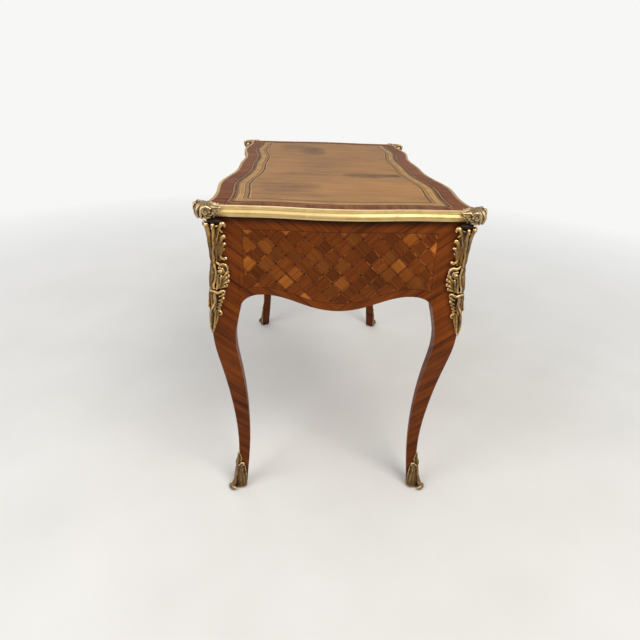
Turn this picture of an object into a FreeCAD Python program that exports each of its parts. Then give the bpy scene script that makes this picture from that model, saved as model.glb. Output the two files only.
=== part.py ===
import FreeCAD, Part
import math
import os
from FreeCAD import Placement, Rotation, Vector

# Small writing table (bureau plat) on four cabriole legs, with a leather writing surface,
# a moulded brass edge, corner clasps, corner mounts, shoes and three drawers.
# Millimetres. X runs along the table, the drawers open towards -Y, Z is up.
# The origin is on the floor under the middle of the table.

os.makedirs("parts", exist_ok=True)

# Overall sizes
top_height = 780.0
top_thickness = 23.0
top_half_length = 526.0
top_half_depth = 280.0
end_overhang = 23.0
side_overhang = 17.0
end_swell = 8.0
post_width = 50.0
root_two = math.sqrt(2.0)
frame_height = top_height - top_thickness
corner_half_length = top_half_length - end_overhang
corner_half_depth = top_half_depth - side_overhang
post_half_length = corner_half_length - post_width
post_half_depth = corner_half_depth - post_width

# Plan of the top: places from the middle of a side out to the corner, and of an end.
# Columns: share of top_half_length, share of top_half_depth.
top_side_shares = [
    (0.000, 0.936), (0.190, 0.925), (0.352, 0.954), (0.456, 0.986), (0.551, 1.000),
    (0.690, 0.980), (0.840, 0.969), (0.915, 0.996), (0.960, 1.050),
]
top_end_shares = [
    (1.000, 0.000), (0.994, 0.230), (0.976, 0.520), (0.972, 0.880), (0.960, 1.050),
]

# Plan of the frieze. Columns: share of the half width between the posts, share of the
# corner's half depth (or of the end's swell), share of the leg's swing that is followed.
frieze_side_shares = [
    (0.000, 0.947, 0.00), (0.240, 0.936, 0.00), (0.470, 0.985, 0.00), (0.640, 1.019, 0.00),
    (0.870, 1.004, 0.28), (1.000, 1.000, 1.00),
]
frieze_end_shares = [
    (0.00, 1.00, 0.00), (0.22, 0.88, 0.00), (0.50, 0.30, 0.02), (0.78, 0.06, 0.37), (1.00, 0.00, 1.00),
]

# Lower outlines of the frieze: share of the half width between the posts, and share of
# frieze_depth that the wood hangs below the top board.
frieze_depth_share = 0.2721
frieze_depth = frame_height * frieze_depth_share
end_outline_shares = [
    (0.000, 1.000), (0.250, 0.966), (0.516, 0.879), (0.775, 0.830), (0.910, 0.856), (1.000, 0.951),
]
side_outline_shares = [
    (0.000, 0.629), (0.280, 0.617), (0.400, 0.657), (0.510, 0.835), (0.640, 0.913),
    (0.780, 0.866), (0.890, 0.830), (0.958, 0.858), (1.000, 0.951),
]

# Cabriole leg: share of frame_height, share of leg_swing that the arris stands outside
# the frieze corner, share of knee_width.
leg_swing = 40.0
knee_width = 51.0
arris_flat = 2.6
inner_corner_share = 0.26
leg_shares = [
    (0.000, -0.388, 0.51), (0.178, -0.613, 0.56), (0.343, -0.455, 0.71), (0.528, 0.040, 0.88),
    (0.654, 0.338, 1.00), (0.760, 0.163, 1.18), (0.872, 0.000, 1.07), (1.000, 0.000, 1.07),
]
leg_joint_share = 0.690
frieze_level_shares = [(0.720, 0.250), (0.872, 0.0), (1.0, 0.0)]

# Fits
seat_gap = 0.15
side_sag = 0.15
slide_gap = 0.3
drawer_gap = 1.0
overrun = 20.0

# Frame boards
end_board_width = 18.0
long_board_width = 35.0
end_inner_face = corner_half_length - end_board_width
long_inner_face = corner_half_depth - long_board_width
top_rail_thickness = 12.0
top_rail_depth = 68.0
side_opening_share = 0.665
centre_opening_share = 0.495
side_rail_level = frame_height - frieze_depth * side_opening_share
centre_rail_level = frame_height - frieze_depth * centre_opening_share
partition_share = 0.4194
partition_half_span = post_half_length * partition_share
partition_thickness = 18.0
partition_foot = 12.0
tenon_length = 14.0
tenon_thickness = 8.0
tenon_height = 120.0
tenon_drop = 25.0
apron_tenon_height = 22.0
runner_thickness = 14.0
runner_width = 12.0
guide_height = 20.0
guide_width = 12.0
groove_width = 3.0
groove_depth = 2.0
false_margin = 10.0

# Drawers
side_front_width = 23.0
centre_front_width = 35.0
drawer_back_gap = 6.0
side_front_rear = corner_half_depth - side_front_width
centre_front_rear = corner_half_depth - centre_front_width
drawer_back_face = long_inner_face - drawer_back_gap
lining_thickness = 9.0
lining_drop = 12.0
bottom_thickness = 6.0
bottom_rise = 7.0
housing_depth = 3.5
back_inset = 6.0
tail_length = 11.0
tail_root_share = 0.22
tail_tip_share = 0.32
side_tail_count = 4
centre_tail_count = 3
drawer_travel = 300.0

# Locks, key and escutcheons
lock_width = 56.0
lock_height = 38.0
lock_depth = 12.0
lock_wall = 1.5
key_drop = 22.0
bolt_width = 18.0
bolt_height = 20.0
bolt_thickness = 3.0
bolt_travel = 7.0
bolt_play = 0.4
mortise_depth = 9.0
key_stem_radius = 2.5
key_stem_play = 0.5
key_slot_width = 3.6
key_bit_thickness = 2.6
key_bit_reach = 8.0
key_bit_width = 3.5
key_bow_radius = 12.0
key_bow_band = 3.6
key_bow_thickness = 4.0
key_standoff = 8.0
escutcheon_thickness = 1.6
escutcheon_half_width = 17.0
escutcheon_half_height = 23.0
escutcheon_drop = 3.0
escutcheon_point_count = 28
escutcheon_shares = [
    (0.00, 1.00), (0.30, 0.84), (0.62, 0.92), (0.80, 0.62), (0.62, 0.34), (1.00, 0.06),
    (0.74, -0.30), (0.36, -0.56), (0.30, -0.82), (0.00, -1.00),
]

# Drop handles
handle_half_span = 40.0
handle_level_share = 0.3738
handle_level = frame_height - frieze_depth * handle_level_share
handle_standoff = 12.0
bail_radius = 2.2
bail_play = 0.3
bail_pin_inner = 4.0
bail_pin_outer = 6.0
bail_bend = 5.0
bail_drop = 26.0
bail_sweep = 12.0
bend_step_count = 3
bail_knop_radius = 4.4
bail_knop_width = 9.0
post_head_radius = 4.8
post_head_width = 7.0
post_neck_radius = 3.2
rosette_radius = 9.0
rosette_height = 3.0
rosette_sink = 1.0
shank_radius = 2.3
nut_radius = 5.0
nut_height = 3.0
shank_end = 1.5

# Top: border, leather and brass edge
veneer_thickness = 2.0
leather_thickness = 1.3
border_width = 36.0
edge_width = 8.0
corner_margin = 4.0
edge_step_count = 4
leather_step_count = 2
edge_profile = [
    (-8.0, 0.0), (-1.2, 0.0), (-0.7, -6.0), (-2.4, -7.4), (0.0, -13.0), (-5.0, -23.0), (-8.0, -23.0),
]

# Corner clasps: places round the clasp in shares of clasp_reach from the top's corner,
# along X and along Y.
clasp_reach = 50.0
clasp_lip = 5.0
clasp_rise = 8.0
clasp_belly_share = 0.50
clasp_lip_scale = 0.92
clasp_crown_scale = 0.66
clasp_centre_shares = (-0.18, -0.30)
clasp_point_count = 20
clasp_shares = [
    (0.05, 0.20), (0.24, 0.02), (0.29, -0.42), (0.22, -0.88), (0.02, -1.00),
    (-0.18, -0.80), (-0.42, -0.86), (-0.60, -0.66), (-0.86, -0.62), (-0.92, -0.34),
    (-0.60, -0.18), (-0.30, -0.02),
]

# Corner mounts on the arris of the legs: share of frame_height with the arm width in shares
# of mount_arm, with the nose height in shares of mount_nose, and the plate's own heights.
mount_nose = 20.0
mount_arm = 33.0
mount_plate = 3.4
mount_rib = 11.0
mount_arm_shares = [
    (0.988, 0.74), (0.962, 0.44), (0.936, 0.76), (0.904, 0.44), (0.862, 0.72),
    (0.826, 1.00), (0.760, 0.54), (0.718, 0.60), (0.650, 0.14),
]
mount_nose_shares = [
    (0.988, 1.05), (0.938, 0.66), (0.880, 0.40), (0.820, 0.45), (0.740, 0.34), (0.650, 0.20),
]
mount_plate_shares = [0.988, 0.872, 0.760, 0.654, 0.650]

# Shoes: share of shoe_height, toe in shares of shoe_toe, wall in shares of shoe_wall.
shoe_height = 84.0
shoe_toe = 17.0
shoe_wall = 4.0
shoe_sole = 3.0
shoe_shares = [
    (0.00, 0.85, 1.00), (0.10, 1.00, 1.10), (0.24, 0.80, 0.90), (0.46, 0.42, 0.75),
    (0.74, 0.27, 0.72), (1.00, 0.30, 0.85),
]
shoe_scroll_radius = 6.5
shoe_scroll_width = 20.0
leaf_overlap = 6.0
leaf_arm_shares = [(0.00, 0.44), (0.45, 0.34), (1.00, 0.08)]
leaf_nose_shares = [(0.00, 0.30), (0.50, 0.25), (1.00, 0.12)]
leaf_height = 40.0
leaf_arm = 26.0
leaf_rib = 9.0

# Fasteners
pin_radius = 1.2
pin_play = 0.15
pin_length = 16.0
pin_head_radius = 2.6
pin_head_height = 1.6
mount_pin_shares = (0.925, 0.705)
clasp_pin_shares = (-0.40, -0.47)
dowel_radius = 5.0
dowel_length = 30.0
dowel_play = 0.1
dowel_setback = 24.0
pin_side_count = 8
shank_side_count = 4
turned_side_count = 12


def box(x1, x2, y1, y2, z1, z2):
    """Box between two corners."""
    return Part.makeBox(x2 - x1, y2 - y1, z2 - z1, Vector(x1, y1, z1))


def spline(points, closed=False):
    """Smooth edge through points."""
    curve = Part.BSplineCurve()
    curve.interpolate(Points=points, PeriodicFlag=closed)
    return curve.toShape()


def rising_curve(points):
    """Smooth curve that ends upright, and the upright line above it to the last point."""
    curve = Part.BSplineCurve()
    first_rise = points[1] - points[0]
    curve.interpolate(Points=points[:-1], InitialTangent=first_rise, FinalTangent=Vector(0, 0, 1))
    return Part.Wire([curve.toShape(), Part.makeLine(points[-2], points[-1])])


def smooth_ring(points, count):
    """Closed outline of many short sides through points."""
    return polygon(spline(points, True).discretize(Number=count + 1)[:-1])


def polygon(points):
    """Closed wire of straight lines."""
    return Part.makePolygon(list(points) + [points[0]])


def prism(wires, direction):
    """Solid swept straight from a closed outline."""
    return Part.Face(wires).extrude(direction)


def cylinder(start, direction, radius, length):
    """Round bar from a start point."""
    return Part.makeCylinder(radius, length, start, direction)


def rod(start, direction, radius, length, sides):
    """Straight bar whose section is a regular figure with many sides."""
    upward = Vector(0, 0, 1) if abs(direction.z) < 1 / root_two else Vector(0, 1, 0)
    sideways = upward.cross(direction)
    sideways.normalize()
    second = direction.cross(sideways)
    second.normalize()
    ring = []
    for index in range(sides):
        angle = (index + 0.5) * 2 * math.pi / sides
        ring.append(start + sideways * (radius * math.cos(angle)) + second * (radius * math.sin(angle)))
    return prism(polygon(ring), direction * length)


def mirror_x(shape):
    """The same shape on the other end of the table."""
    return shape.mirror(Vector(0, 0, 0), Vector(1, 0, 0))


def mirror_y(shape):
    """The same shape on the other long side."""
    return shape.mirror(Vector(0, 0, 0), Vector(0, 1, 0))


def four_corners(shape, label):
    """Copies of a back right piece at all four corners, by name."""
    return {
        label + "_back_right": shape,
        label + "_back_left": mirror_x(shape),
        label + "_front_right": mirror_y(shape),
        label + "_front_left": mirror_x(mirror_y(shape)),
    }


def mirrored_points(half):
    """Points of a half outline and of its mirror image, from -X to +X."""
    left = [Vector(-p.x, p.y, p.z) for p in reversed(half[1:])]
    return left + half


def inset_points(points, inset, outward_sign, steps):
    """Places moved in at right angles from the smooth curve through points, some for each span."""
    curve = spline(points)
    knots = [curve.Curve.parameter(point) for point in points]
    places = [start + (finish - start) * step / steps
              for start, finish in zip(knots, knots[1:]) for step in range(steps)]
    moved = []
    for place in places + [knots[-1]]:
        along = curve.tangentAt(place)
        moved.append(curve.valueAt(place) - Vector(-along.y, along.x, 0) * (inset * outward_sign))
    return moved


def side_points():
    """Places on the serpentine edge of the top on the +Y side, towards +X."""
    return mirrored_points([Vector(a * top_half_length, b * top_half_depth, 0)
                            for a, b in top_side_shares])


def end_points():
    """Places on the bowed edge of the top on the +X end, towards +Y."""
    upper = [Vector(a * top_half_length, b * top_half_depth, 0) for a, b in top_end_shares]
    return [Vector(p.x, -p.y, 0) for p in reversed(upper[1:])] + upper


def corner_directions():
    """Directions in which the side and the end leave the +X +Y corner of the top."""
    side = spline(side_points())
    end = spline(end_points())
    along_side = side.tangentAt(side.ParameterRange[1]) * -1
    along_end = end.tangentAt(end.ParameterRange[1]) * -1
    return along_side, along_end


def top_outline(inset, curve, steps):
    """Closed plan of the top, set in from its edge, with some places for each span."""
    along_side, along_end = corner_directions()
    corner = side_points()[-1]
    sine = along_side.cross(along_end).z
    corner = corner + (along_side + along_end) * ((inset + side_sag) / sine)
    side = inset_points(side_points(), inset, 1, steps)
    side = [p for p in side if abs(p.x) < corner.x - corner_margin]
    end = inset_points(end_points(), inset, -1, steps)
    end = [p for p in end if abs(p.y) < corner.y - corner_margin]
    back = curve([Vector(-corner.x, corner.y, 0)] + side + [corner])
    right = curve([Vector(corner.x, -corner.y, 0)] + end + [corner])
    edges = back.Edges + right.Edges + mirror_y(back).Edges + mirror_x(right).Edges
    return Part.Wire(Part.__sortEdges__(edges))


def short_sides(points):
    """Open line of short straight sides that follows the smooth curve through points."""
    return Part.makePolygon(spline(points).discretize(Number=len(points) * 2))


def edge_spine(edge):
    """Edge of the top, lengthened past both corners along its own direction."""
    first, last = edge.ParameterRange
    start = edge.valueAt(first)
    finish = edge.valueAt(last)
    before = start - edge.tangentAt(first) * overrun
    after = finish + edge.tangentAt(last) * overrun
    return Part.Wire([Part.makeLine(before, start), edge, Part.makeLine(finish, after)])


def edge_band(edge, outward_sign, section):
    """Strip that follows an edge of the top; section gives (outward, height) places."""
    spine = edge_spine(edge)
    start = spine.Edges[0].Vertexes[0].Point
    run = spine.Edges[0].Vertexes[1].Point - start
    run.normalize()
    outward = Vector(-run.y, run.x, 0) * outward_sign
    points = [start + outward * a + Vector(0, 0, top_height + b) for a, b in section]
    sweep = Part.BRepOffsetAPI.MakePipeShell(spine)
    sweep.setBiNormalMode(Vector(0, 0, 1))
    sweep.add(polygon(points))
    sweep.build()
    sweep.makeSolid()
    return sweep.shape()


def corner_cutter(keep_side):
    """Block beyond the mitre at the +X +Y corner of the top."""
    along_side, along_end = corner_directions()
    mitre = along_side + along_end
    turn = math.degrees(math.atan2(mitre.y, mitre.x))
    reach = clasp_reach * 2
    near = 0 if keep_side else -reach
    block = box(-reach, reach, near, near + reach, 0, top_height + overrun)
    block.Placement = Placement(side_points()[-1], Rotation(Vector(0, 0, 1), turn))
    return block


def edge_mouldings():
    """Four moulded brass lengths, mitred under the clasps."""
    lengths = {}
    side = edge_band(spline(side_points()), 1, edge_profile)
    cutter = corner_cutter(True)
    side = largest(side.cut(cutter).cut(mirror_x(cutter)))
    end = edge_band(spline(end_points()), -1, edge_profile)
    cutter = corner_cutter(False)
    end = largest(end.cut(cutter).cut(mirror_y(cutter)))
    lengths["edge_moulding_back"] = side
    lengths["edge_moulding_front"] = mirror_y(side)
    lengths["edge_moulding_right"] = end
    lengths["edge_moulding_left"] = mirror_x(end)
    return lengths


def top_slab(inset, low, high, steps):
    """Flat board of the top's plan between two depths, its edge set in by an inset."""
    outline = top_outline(inset, Part.makePolygon, steps)
    outline.translate(Vector(0, 0, top_height - low))
    return prism(outline, Vector(0, 0, low - high))


def largest(shape):
    """Main solid of a cut."""
    return max(shape.Solids, key=lambda solid: solid.Volume)


def top_pieces():
    """Board, veneered border and leather of the top."""
    inset = edge_width + seat_gap + side_sag
    board = top_slab(inset, top_thickness, veneer_thickness, edge_step_count)
    border = top_slab(inset, veneer_thickness, 0, edge_step_count)
    well = top_slab(border_width, veneer_thickness + overrun, -overrun, leather_step_count)
    seat = veneer_thickness - leather_thickness
    leather = top_slab(border_width, veneer_thickness, seat, leather_step_count)
    return {"top_board": board, "top_border": border.cut(well), "leather_inset": leather}


def clasp():
    """Brass clasp over the back right corner of the top."""
    corner = side_points()[-1]
    centre = corner + Vector(clasp_centre_shares[0], clasp_centre_shares[1], 0) * clasp_reach
    low = top_height - top_thickness - clasp_lip
    high = top_height + clasp_rise
    belly = low + (high - low) * clasp_belly_share
    rings = []
    for scale, level in ((clasp_lip_scale, low), (1, belly), (clasp_crown_scale, high)):
        ring = []
        for a, b in clasp_shares:
            place = corner + Vector(a, b, 0) * clasp_reach
            point = centre + (place - centre) * scale
            ring.append(Vector(point.x, point.y, level))
        rings.append(smooth_ring(ring, clasp_point_count))
    body = Part.makeLoft(rings, True, True)
    outline = top_outline(-seat_gap, spline, 1)
    outline.translate(Vector(0, 0, low - overrun))
    block = prism(outline, Vector(0, 0, top_height - low + overrun))
    return largest(body.cut(block))


def corner_point(swing_share):
    """Arris of the back right leg, where it swings out from the frieze corner."""
    swing = swing_share * leg_swing
    return corner_half_length + swing, corner_half_depth + swing


def leg_lines(outer_grow, inner_grow):
    """Lines of the leg in the plane of one face: the arris, and the inner edge."""
    outer = []
    inner = []
    for height_share, swing_share, width_share in leg_shares:
        level = height_share * frame_height
        swing = swing_share * leg_swing
        outer.append((swing + outer_grow, level))
        inner.append((swing - width_share * knee_width - inner_grow, level))
    return outer, inner


def sawn_profile(outer, inner, base, across, width, curve):
    """Board sawn to an outer and an inner line: (distance, height) places along a direction."""
    along = Vector(across.y, -across.x, 0)
    start = base - across * (width / 2)
    first = [start + along * a + Vector(0, 0, z) for a, z in outer]
    second = [start + along * a + Vector(0, 0, z) for a, z in inner]
    edges = curve(first).Edges + [Part.makeLine(first[-1], second[-1])]
    edges = edges + curve(second).Edges + [Part.makeLine(second[0], first[0])]
    return prism(Part.Wire(Part.__sortEdges__(edges)), across * width)


def two_way(outer, inner, curve):
    """Form sawn to the same lines from both faces of the back right corner."""
    width = corner_half_length
    corner = Vector(corner_half_length, corner_half_depth, 0)
    along_x = sawn_profile(outer, inner, corner, Vector(0, 1, 0), width, curve)
    along_y = sawn_profile(outer, inner, corner, Vector(-1, 0, 0), width, curve)
    return along_x.common(along_y)


def diagonal_profile(outer, inner, width, curve):
    """Board sawn in the diagonal plane of the back right corner."""
    across = Vector(-1 / root_two, 1 / root_two, 0)
    corner = Vector(corner_half_length, corner_half_depth, 0)
    return sawn_profile(outer, inner, corner, across, width, curve)


def leg_form(grow):
    """Whole S-curved leg of the back right corner, its arris and inner corner planed off."""
    outer, inner = leg_lines(grow, grow)
    blunt = arris_flat / root_two
    chamfered = [(a * root_two - blunt, z) for a, z in outer]
    hollow = [(a * root_two + knee_width * inner_corner_share, z) for a, z in inner]
    board = diagonal_profile(chamfered, hollow, corner_half_length, rising_curve)
    return two_way(outer, inner, rising_curve).common(board)


def leg(cutters):
    """Back right leg: the curved form, flat where the frieze boards meet it."""
    reach = corner_half_length + overrun
    joint_level = leg_joint_share * frame_height
    form = leg_form(0)
    form = form.cut(box(0, reach, 0, reach, -overrun, shoe_sole))
    form = form.cut(box(0, post_half_length, 0, reach, joint_level, frame_height + overrun))
    form = form.cut(box(0, reach, 0, post_half_depth, joint_level, frame_height + overrun))
    for cutter in cutters:
        form = form.cut(cutter)
    return largest(form)


def long_volume():
    """Solid behind the serpentine face of the back long side, in to the middle."""
    sections = []
    for height_share, swing_share in frieze_level_shares:
        level = height_share * frame_height
        half = []
        for a, b, follow in frieze_side_shares:
            depth = b * corner_half_depth + follow * swing_share * leg_swing
            half.append(Vector(a * post_half_length, depth, level))
        points = mirrored_points(half)
        left = Vector(points[0].x, 0, level)
        right = Vector(points[-1].x, 0, level)
        sections.append(Part.Wire([
            spline(points), Part.makeLine(points[-1], right), Part.makeLine(right, left),
            Part.makeLine(left, points[0]),
        ]))
    return Part.makeLoft(sections, True, True)


def end_volume():
    """Solid between the bowed outer face of the right end and its flat inner face."""
    sections = []
    for height_share, swing_share in frieze_level_shares:
        level = height_share * frame_height
        upper = []
        for a, swell, follow in frieze_end_shares:
            reach = corner_half_length + swell * end_swell
            reach = reach + follow * swing_share * leg_swing
            upper.append(Vector(reach, a * post_half_depth, level))
        lower = [Vector(p.x, -p.y, p.z) for p in reversed(upper[1:])]
        points = lower + upper
        near = Vector(end_inner_face, points[0].y, level)
        far = Vector(end_inner_face, points[-1].y, level)
        sections.append(Part.Wire([
            spline(points), Part.makeLine(points[-1], far), Part.makeLine(far, near),
            Part.makeLine(near, points[0]),
        ]))
    return Part.makeLoft(sections, True, True)


def outline_cutter(shares, half_width, along_x):
    """Everything under the shaped lower outline of a frieze board."""
    reach = top_half_length + overrun
    half = []
    for a, drop in shares:
        place = a * half_width
        level = frame_height - drop * frieze_depth
        half.append(Vector(place, 0, level))
    points = mirrored_points(half)
    curve = spline(points)
    left = Vector(points[0].x, 0, 0)
    right = Vector(points[-1].x, 0, 0)
    wire = Part.Wire([curve, Part.makeLine(points[-1], right), Part.makeLine(right, left),
                      Part.makeLine(left, points[0])])
    wire.translate(Vector(0, -reach, 0))
    cutter = prism(wire, Vector(0, reach * 2, 0))
    if not along_x:
        cutter.rotate(Vector(0, 0, 0), Vector(0, 0, 1), 90)
    return cutter


def end_tenon():
    """Tenon of the right end panel in the back right leg."""
    middle = (end_inner_face + corner_half_length) / 2
    top = frame_height - tenon_drop
    return box(middle - tenon_thickness / 2, middle + tenon_thickness / 2,
               post_half_depth, post_half_depth + tenon_length, top - tenon_height, top)


def long_tenon(top, height):
    """Tenon of a long board in the back right leg."""
    middle = (long_inner_face + corner_half_depth) / 2
    return box(post_half_length, post_half_length + tenon_length,
               middle - tenon_thickness / 2, middle + tenon_thickness / 2, top - height, top)


def end_panel():
    """Right end panel with its arched lower edge."""
    panel = end_volume().cut(outline_cutter(end_outline_shares, post_half_depth, False))
    tenon = end_tenon()
    return panel.fuse([tenon, mirror_y(tenon)]).removeSplitter()


def back_panel(volume):
    """Back board, shaped below, with the lines of three false drawers."""
    reach = corner_half_depth + overrun
    panel = volume.cut(box(-reach * 2, reach * 2, -overrun, long_inner_face, 0, top_height))
    panel = panel.cut(outline_cutter(side_outline_shares, post_half_length, True))
    core = volume.translated(Vector(0, -groove_depth, 0))
    for x1, x2, z1 in drawer_openings():
        outer = box(x1, x2, long_inner_face, reach, z1, frame_height - top_rail_thickness)
        inner = box(x1 + groove_width, x2 - groove_width, -overrun, reach + overrun,
                    z1 + groove_width, frame_height - top_rail_thickness - groove_width)
        panel = panel.cut(outer.cut(inner).cut(core))
    tenon = long_tenon(frame_height - tenon_drop, tenon_height)
    return panel.fuse([tenon, mirror_x(tenon)]).removeSplitter()


def drawer_openings():
    """Left and right edges and floor of the three drawer openings."""
    inner = partition_half_span + partition_thickness
    return [
        (-post_half_length, -inner, side_rail_level),
        (-partition_half_span, partition_half_span, centre_rail_level),
        (inner, post_half_length, side_rail_level),
    ]


def front_apron(front):
    """Shaped rail under the drawers, stepped up over the knee space."""
    reach = corner_half_depth + overrun
    band = front.cut(box(-reach * 2, reach * 2, -long_inner_face, overrun, 0, top_height))
    band = band.cut(outline_cutter(side_outline_shares, post_half_length, True))
    step = box(-partition_half_span, partition_half_span, -reach, 0, centre_rail_level, top_height)
    wings = box(-reach * 2, reach * 2, -reach, 0, side_rail_level, top_height)
    middle = box(-partition_half_span, partition_half_span, -reach, 0, 0, top_height)
    band = band.cut(step).cut(wings.cut(middle))
    tenon = mirror_y(long_tenon(side_rail_level - groove_width, apron_tenon_height))
    return largest(band.fuse([tenon, mirror_x(tenon)]).removeSplitter())


def top_rail(front):
    """Thin rail over the drawers, with the mortises of the lock bolts."""
    reach = corner_half_depth + overrun
    low = frame_height - top_rail_thickness
    depth = corner_half_depth - top_rail_depth
    rail = front.common(box(-post_half_length, post_half_length, -reach, -depth, low, frame_height))
    for x1, x2, floor in drawer_openings():
        middle = (x1 + x2) / 2
        rear = front_rear(x1, x2)
        bolt_y = -rear - lock_wall - bolt_play
        rail = rail.cut(box(middle - bolt_width / 2 - bolt_play, middle + bolt_width / 2 + bolt_play,
                            bolt_y - bolt_thickness - bolt_play, bolt_y + bolt_play,
                            low - overrun, low + mortise_depth))
    return rail


def front_rear(x1, x2):
    """Flat rear face of a drawer front, as a distance from the middle of the table."""
    if x1 * x2 < 0:
        return centre_front_rear
    return side_front_rear


def partition(front, cutters):
    """Board between the centre drawer and the right drawer."""
    outer = partition_half_span + partition_thickness
    low = side_rail_level - partition_foot
    reach = corner_half_depth + overrun
    board = box(partition_half_span, outer, -reach, 0, low, frame_height).common(front)
    board = board.fuse(box(partition_half_span, outer, 0, long_inner_face, low, frame_height))
    board = board.removeSplitter()
    for cutter in cutters:
        board = board.cut(cutter)
    return largest(board)


def runners():
    """Six bearers that the drawer linings slide on, two of them with a guide."""
    low = side_rail_level - runner_thickness
    edge = post_half_length - runner_width
    outer = box(edge, post_half_length, -long_inner_face, long_inner_face, low, side_rail_level)
    outer = outer.fuse(box(post_half_length, end_inner_face, -post_half_depth, post_half_depth,
                           low, side_rail_level))
    outer = outer.fuse(box(post_half_length, post_half_length + guide_width, -post_half_depth,
                           post_half_depth, side_rail_level, side_rail_level + guide_height))
    outer = outer.removeSplitter()
    inner_edge = partition_half_span + partition_thickness
    inner = box(inner_edge, inner_edge + runner_width, -long_inner_face, long_inner_face,
                low, side_rail_level)
    centre = box(partition_half_span - runner_width, partition_half_span, -long_inner_face,
                 long_inner_face, centre_rail_level - runner_thickness, centre_rail_level)
    right = [outer, inner, centre]
    return Part.Compound(right + [mirror_x(piece) for piece in right])


def dovetails(x_start, rear, low, high, count):
    """Tails on the end of a drawer side, wider at the front than at their root."""
    pitch = (high - low) / count
    tails = []
    for index in range(count):
        middle = low + pitch * (index + 0.5)
        root = pitch * tail_root_share
        tip = pitch * tail_tip_share
        tails.append(prism(polygon([
            Vector(x_start, -rear, middle - root), Vector(x_start, -rear, middle + root),
            Vector(x_start, -rear - tail_length, middle + tip),
            Vector(x_start, -rear - tail_length, middle - tip),
        ]), Vector(lining_thickness, 0, 0)))
    return tails


def key_hole(middle, level):
    """Round hole and slot for the key, right through a drawer front."""
    reach = corner_half_depth + overrun * 2
    hole = rod(Vector(middle, -reach, level), Vector(0, 1, 0), key_stem_radius + key_stem_play, reach,
               turned_side_count)
    slot = box(middle - key_slot_width / 2, middle + key_slot_width / 2, -reach, 0,
               level - key_bit_reach - key_stem_play, level)
    return hole.fuse(slot)


def lock(middle, rear, top_edge):
    """Hollow lock case let into the back of a drawer front, and its bolt."""
    case = box(middle - lock_width / 2, middle + lock_width / 2, -rear - lock_depth, -rear,
               top_edge - lock_height, top_edge)
    hollow = box(middle - lock_width / 2 + lock_wall, middle + lock_width / 2 - lock_wall,
                 -rear - lock_depth + lock_wall, -rear - lock_wall,
                 top_edge - lock_height + lock_wall, top_edge - lock_wall)
    bolt_rear = -rear - lock_wall - bolt_play
    slot = box(middle - bolt_width / 2 - bolt_play, middle + bolt_width / 2 + bolt_play,
               bolt_rear - bolt_thickness - bolt_play, bolt_rear + bolt_play,
               top_edge - lock_wall * 2, top_edge + overrun)
    front_hole = key_hole(middle, top_edge - key_drop).common(
        box(middle - lock_width, middle + lock_width, -rear * 2, -rear - lock_depth + lock_wall * 2,
            top_edge - lock_height, top_edge))
    shell = case.cut(hollow).cut(slot).cut(front_hole)
    bolt = box(middle - bolt_width / 2, middle + bolt_width / 2, bolt_rear - bolt_thickness, bolt_rear,
               top_edge - bolt_height, top_edge)
    return case, shell, bolt


def face_layer(thickness):
    """Thin upright layer on the serpentine face of the front, above the legs' swing."""
    inner = mirrored_points([Vector(a * post_half_length, -b * corner_half_depth, 0)
                             for a, b, follow in frieze_side_shares])
    outer = [p - Vector(0, thickness, 0) for p in inner]
    wire = Part.Wire([spline(inner), Part.makeLine(inner[-1], outer[-1]), spline(outer[::-1]),
                      Part.makeLine(outer[0], inner[0])])
    wire.translate(Vector(0, 0, frieze_level_shares[-2][0] * frame_height))
    return prism(wire, Vector(0, 0, frame_height * (1 - frieze_level_shares[-2][0])))


def escutcheon(layer, middle, level):
    """Shaped key plate that lies on the serpentine face of a drawer front."""
    half = [Vector(a * escutcheon_half_width, 0, b * escutcheon_half_height) for a, b in escutcheon_shares]
    other = [Vector(-p.x, 0, p.z) for p in reversed(half[1:-1])]
    outline = smooth_ring(half + other, escutcheon_point_count)
    reach = corner_half_depth + overrun * 2
    outline.translate(Vector(middle, -reach, level - escutcheon_drop))
    plate = prism(outline, Vector(0, reach, 0)).common(layer)
    return largest(plate.cut(key_hole(middle, level)))


def drawer(front, layer, x1, x2, floor, tail_count):
    """Drawer of one opening: front, two sides, back, bottom, lock case, bolt and key plate."""
    rear = front_rear(x1, x2)
    reach = corner_half_depth + overrun
    left = x1 + drawer_gap
    right = x2 - drawer_gap
    top_edge = frame_height - top_rail_thickness - drawer_gap
    low = floor + slide_gap
    high = top_edge - lining_drop
    middle = (x1 + x2) / 2
    board = front.common(box(left, right, -reach, -rear, floor + drawer_gap, top_edge))
    bottom_low = low + bottom_rise
    bottom_high = bottom_low + bottom_thickness
    bottom = box(left + lining_thickness - housing_depth, right - lining_thickness + housing_depth,
                 -rear - housing_depth, drawer_back_face, bottom_low, bottom_high)
    back = box(left + lining_thickness - housing_depth, right - lining_thickness + housing_depth,
               drawer_back_face - lining_thickness - back_inset, drawer_back_face - back_inset,
               bottom_high, high - back_inset)
    sides = []
    for start in (left, right - lining_thickness):
        tails = dovetails(start, rear, bottom_high, high, tail_count)
        side = box(start, start + lining_thickness, -rear, drawer_back_face, low, high)
        side = side.fuse(tails).removeSplitter()
        sides.append(side.cut(bottom).cut(back))
        for tail in tails:
            board = board.cut(tail)
    board = board.cut(bottom)
    case, shell, bolt = lock(middle, rear, top_edge)
    key_level = top_edge - key_drop
    board = board.cut(case).cut(key_hole(middle, key_level))
    plate = escutcheon(layer, middle, key_level)
    return {"front": largest(board), "side_left": sides[0], "side_right": sides[1], "back": back,
            "bottom": bottom, "lock": shell, "bolt": bolt, "plate": plate}


def handle_axis():
    """Distance of the bail's pivot from the middle of the table."""
    return corner_half_depth * max(row[1] for row in frieze_side_shares) + handle_standoff


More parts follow.
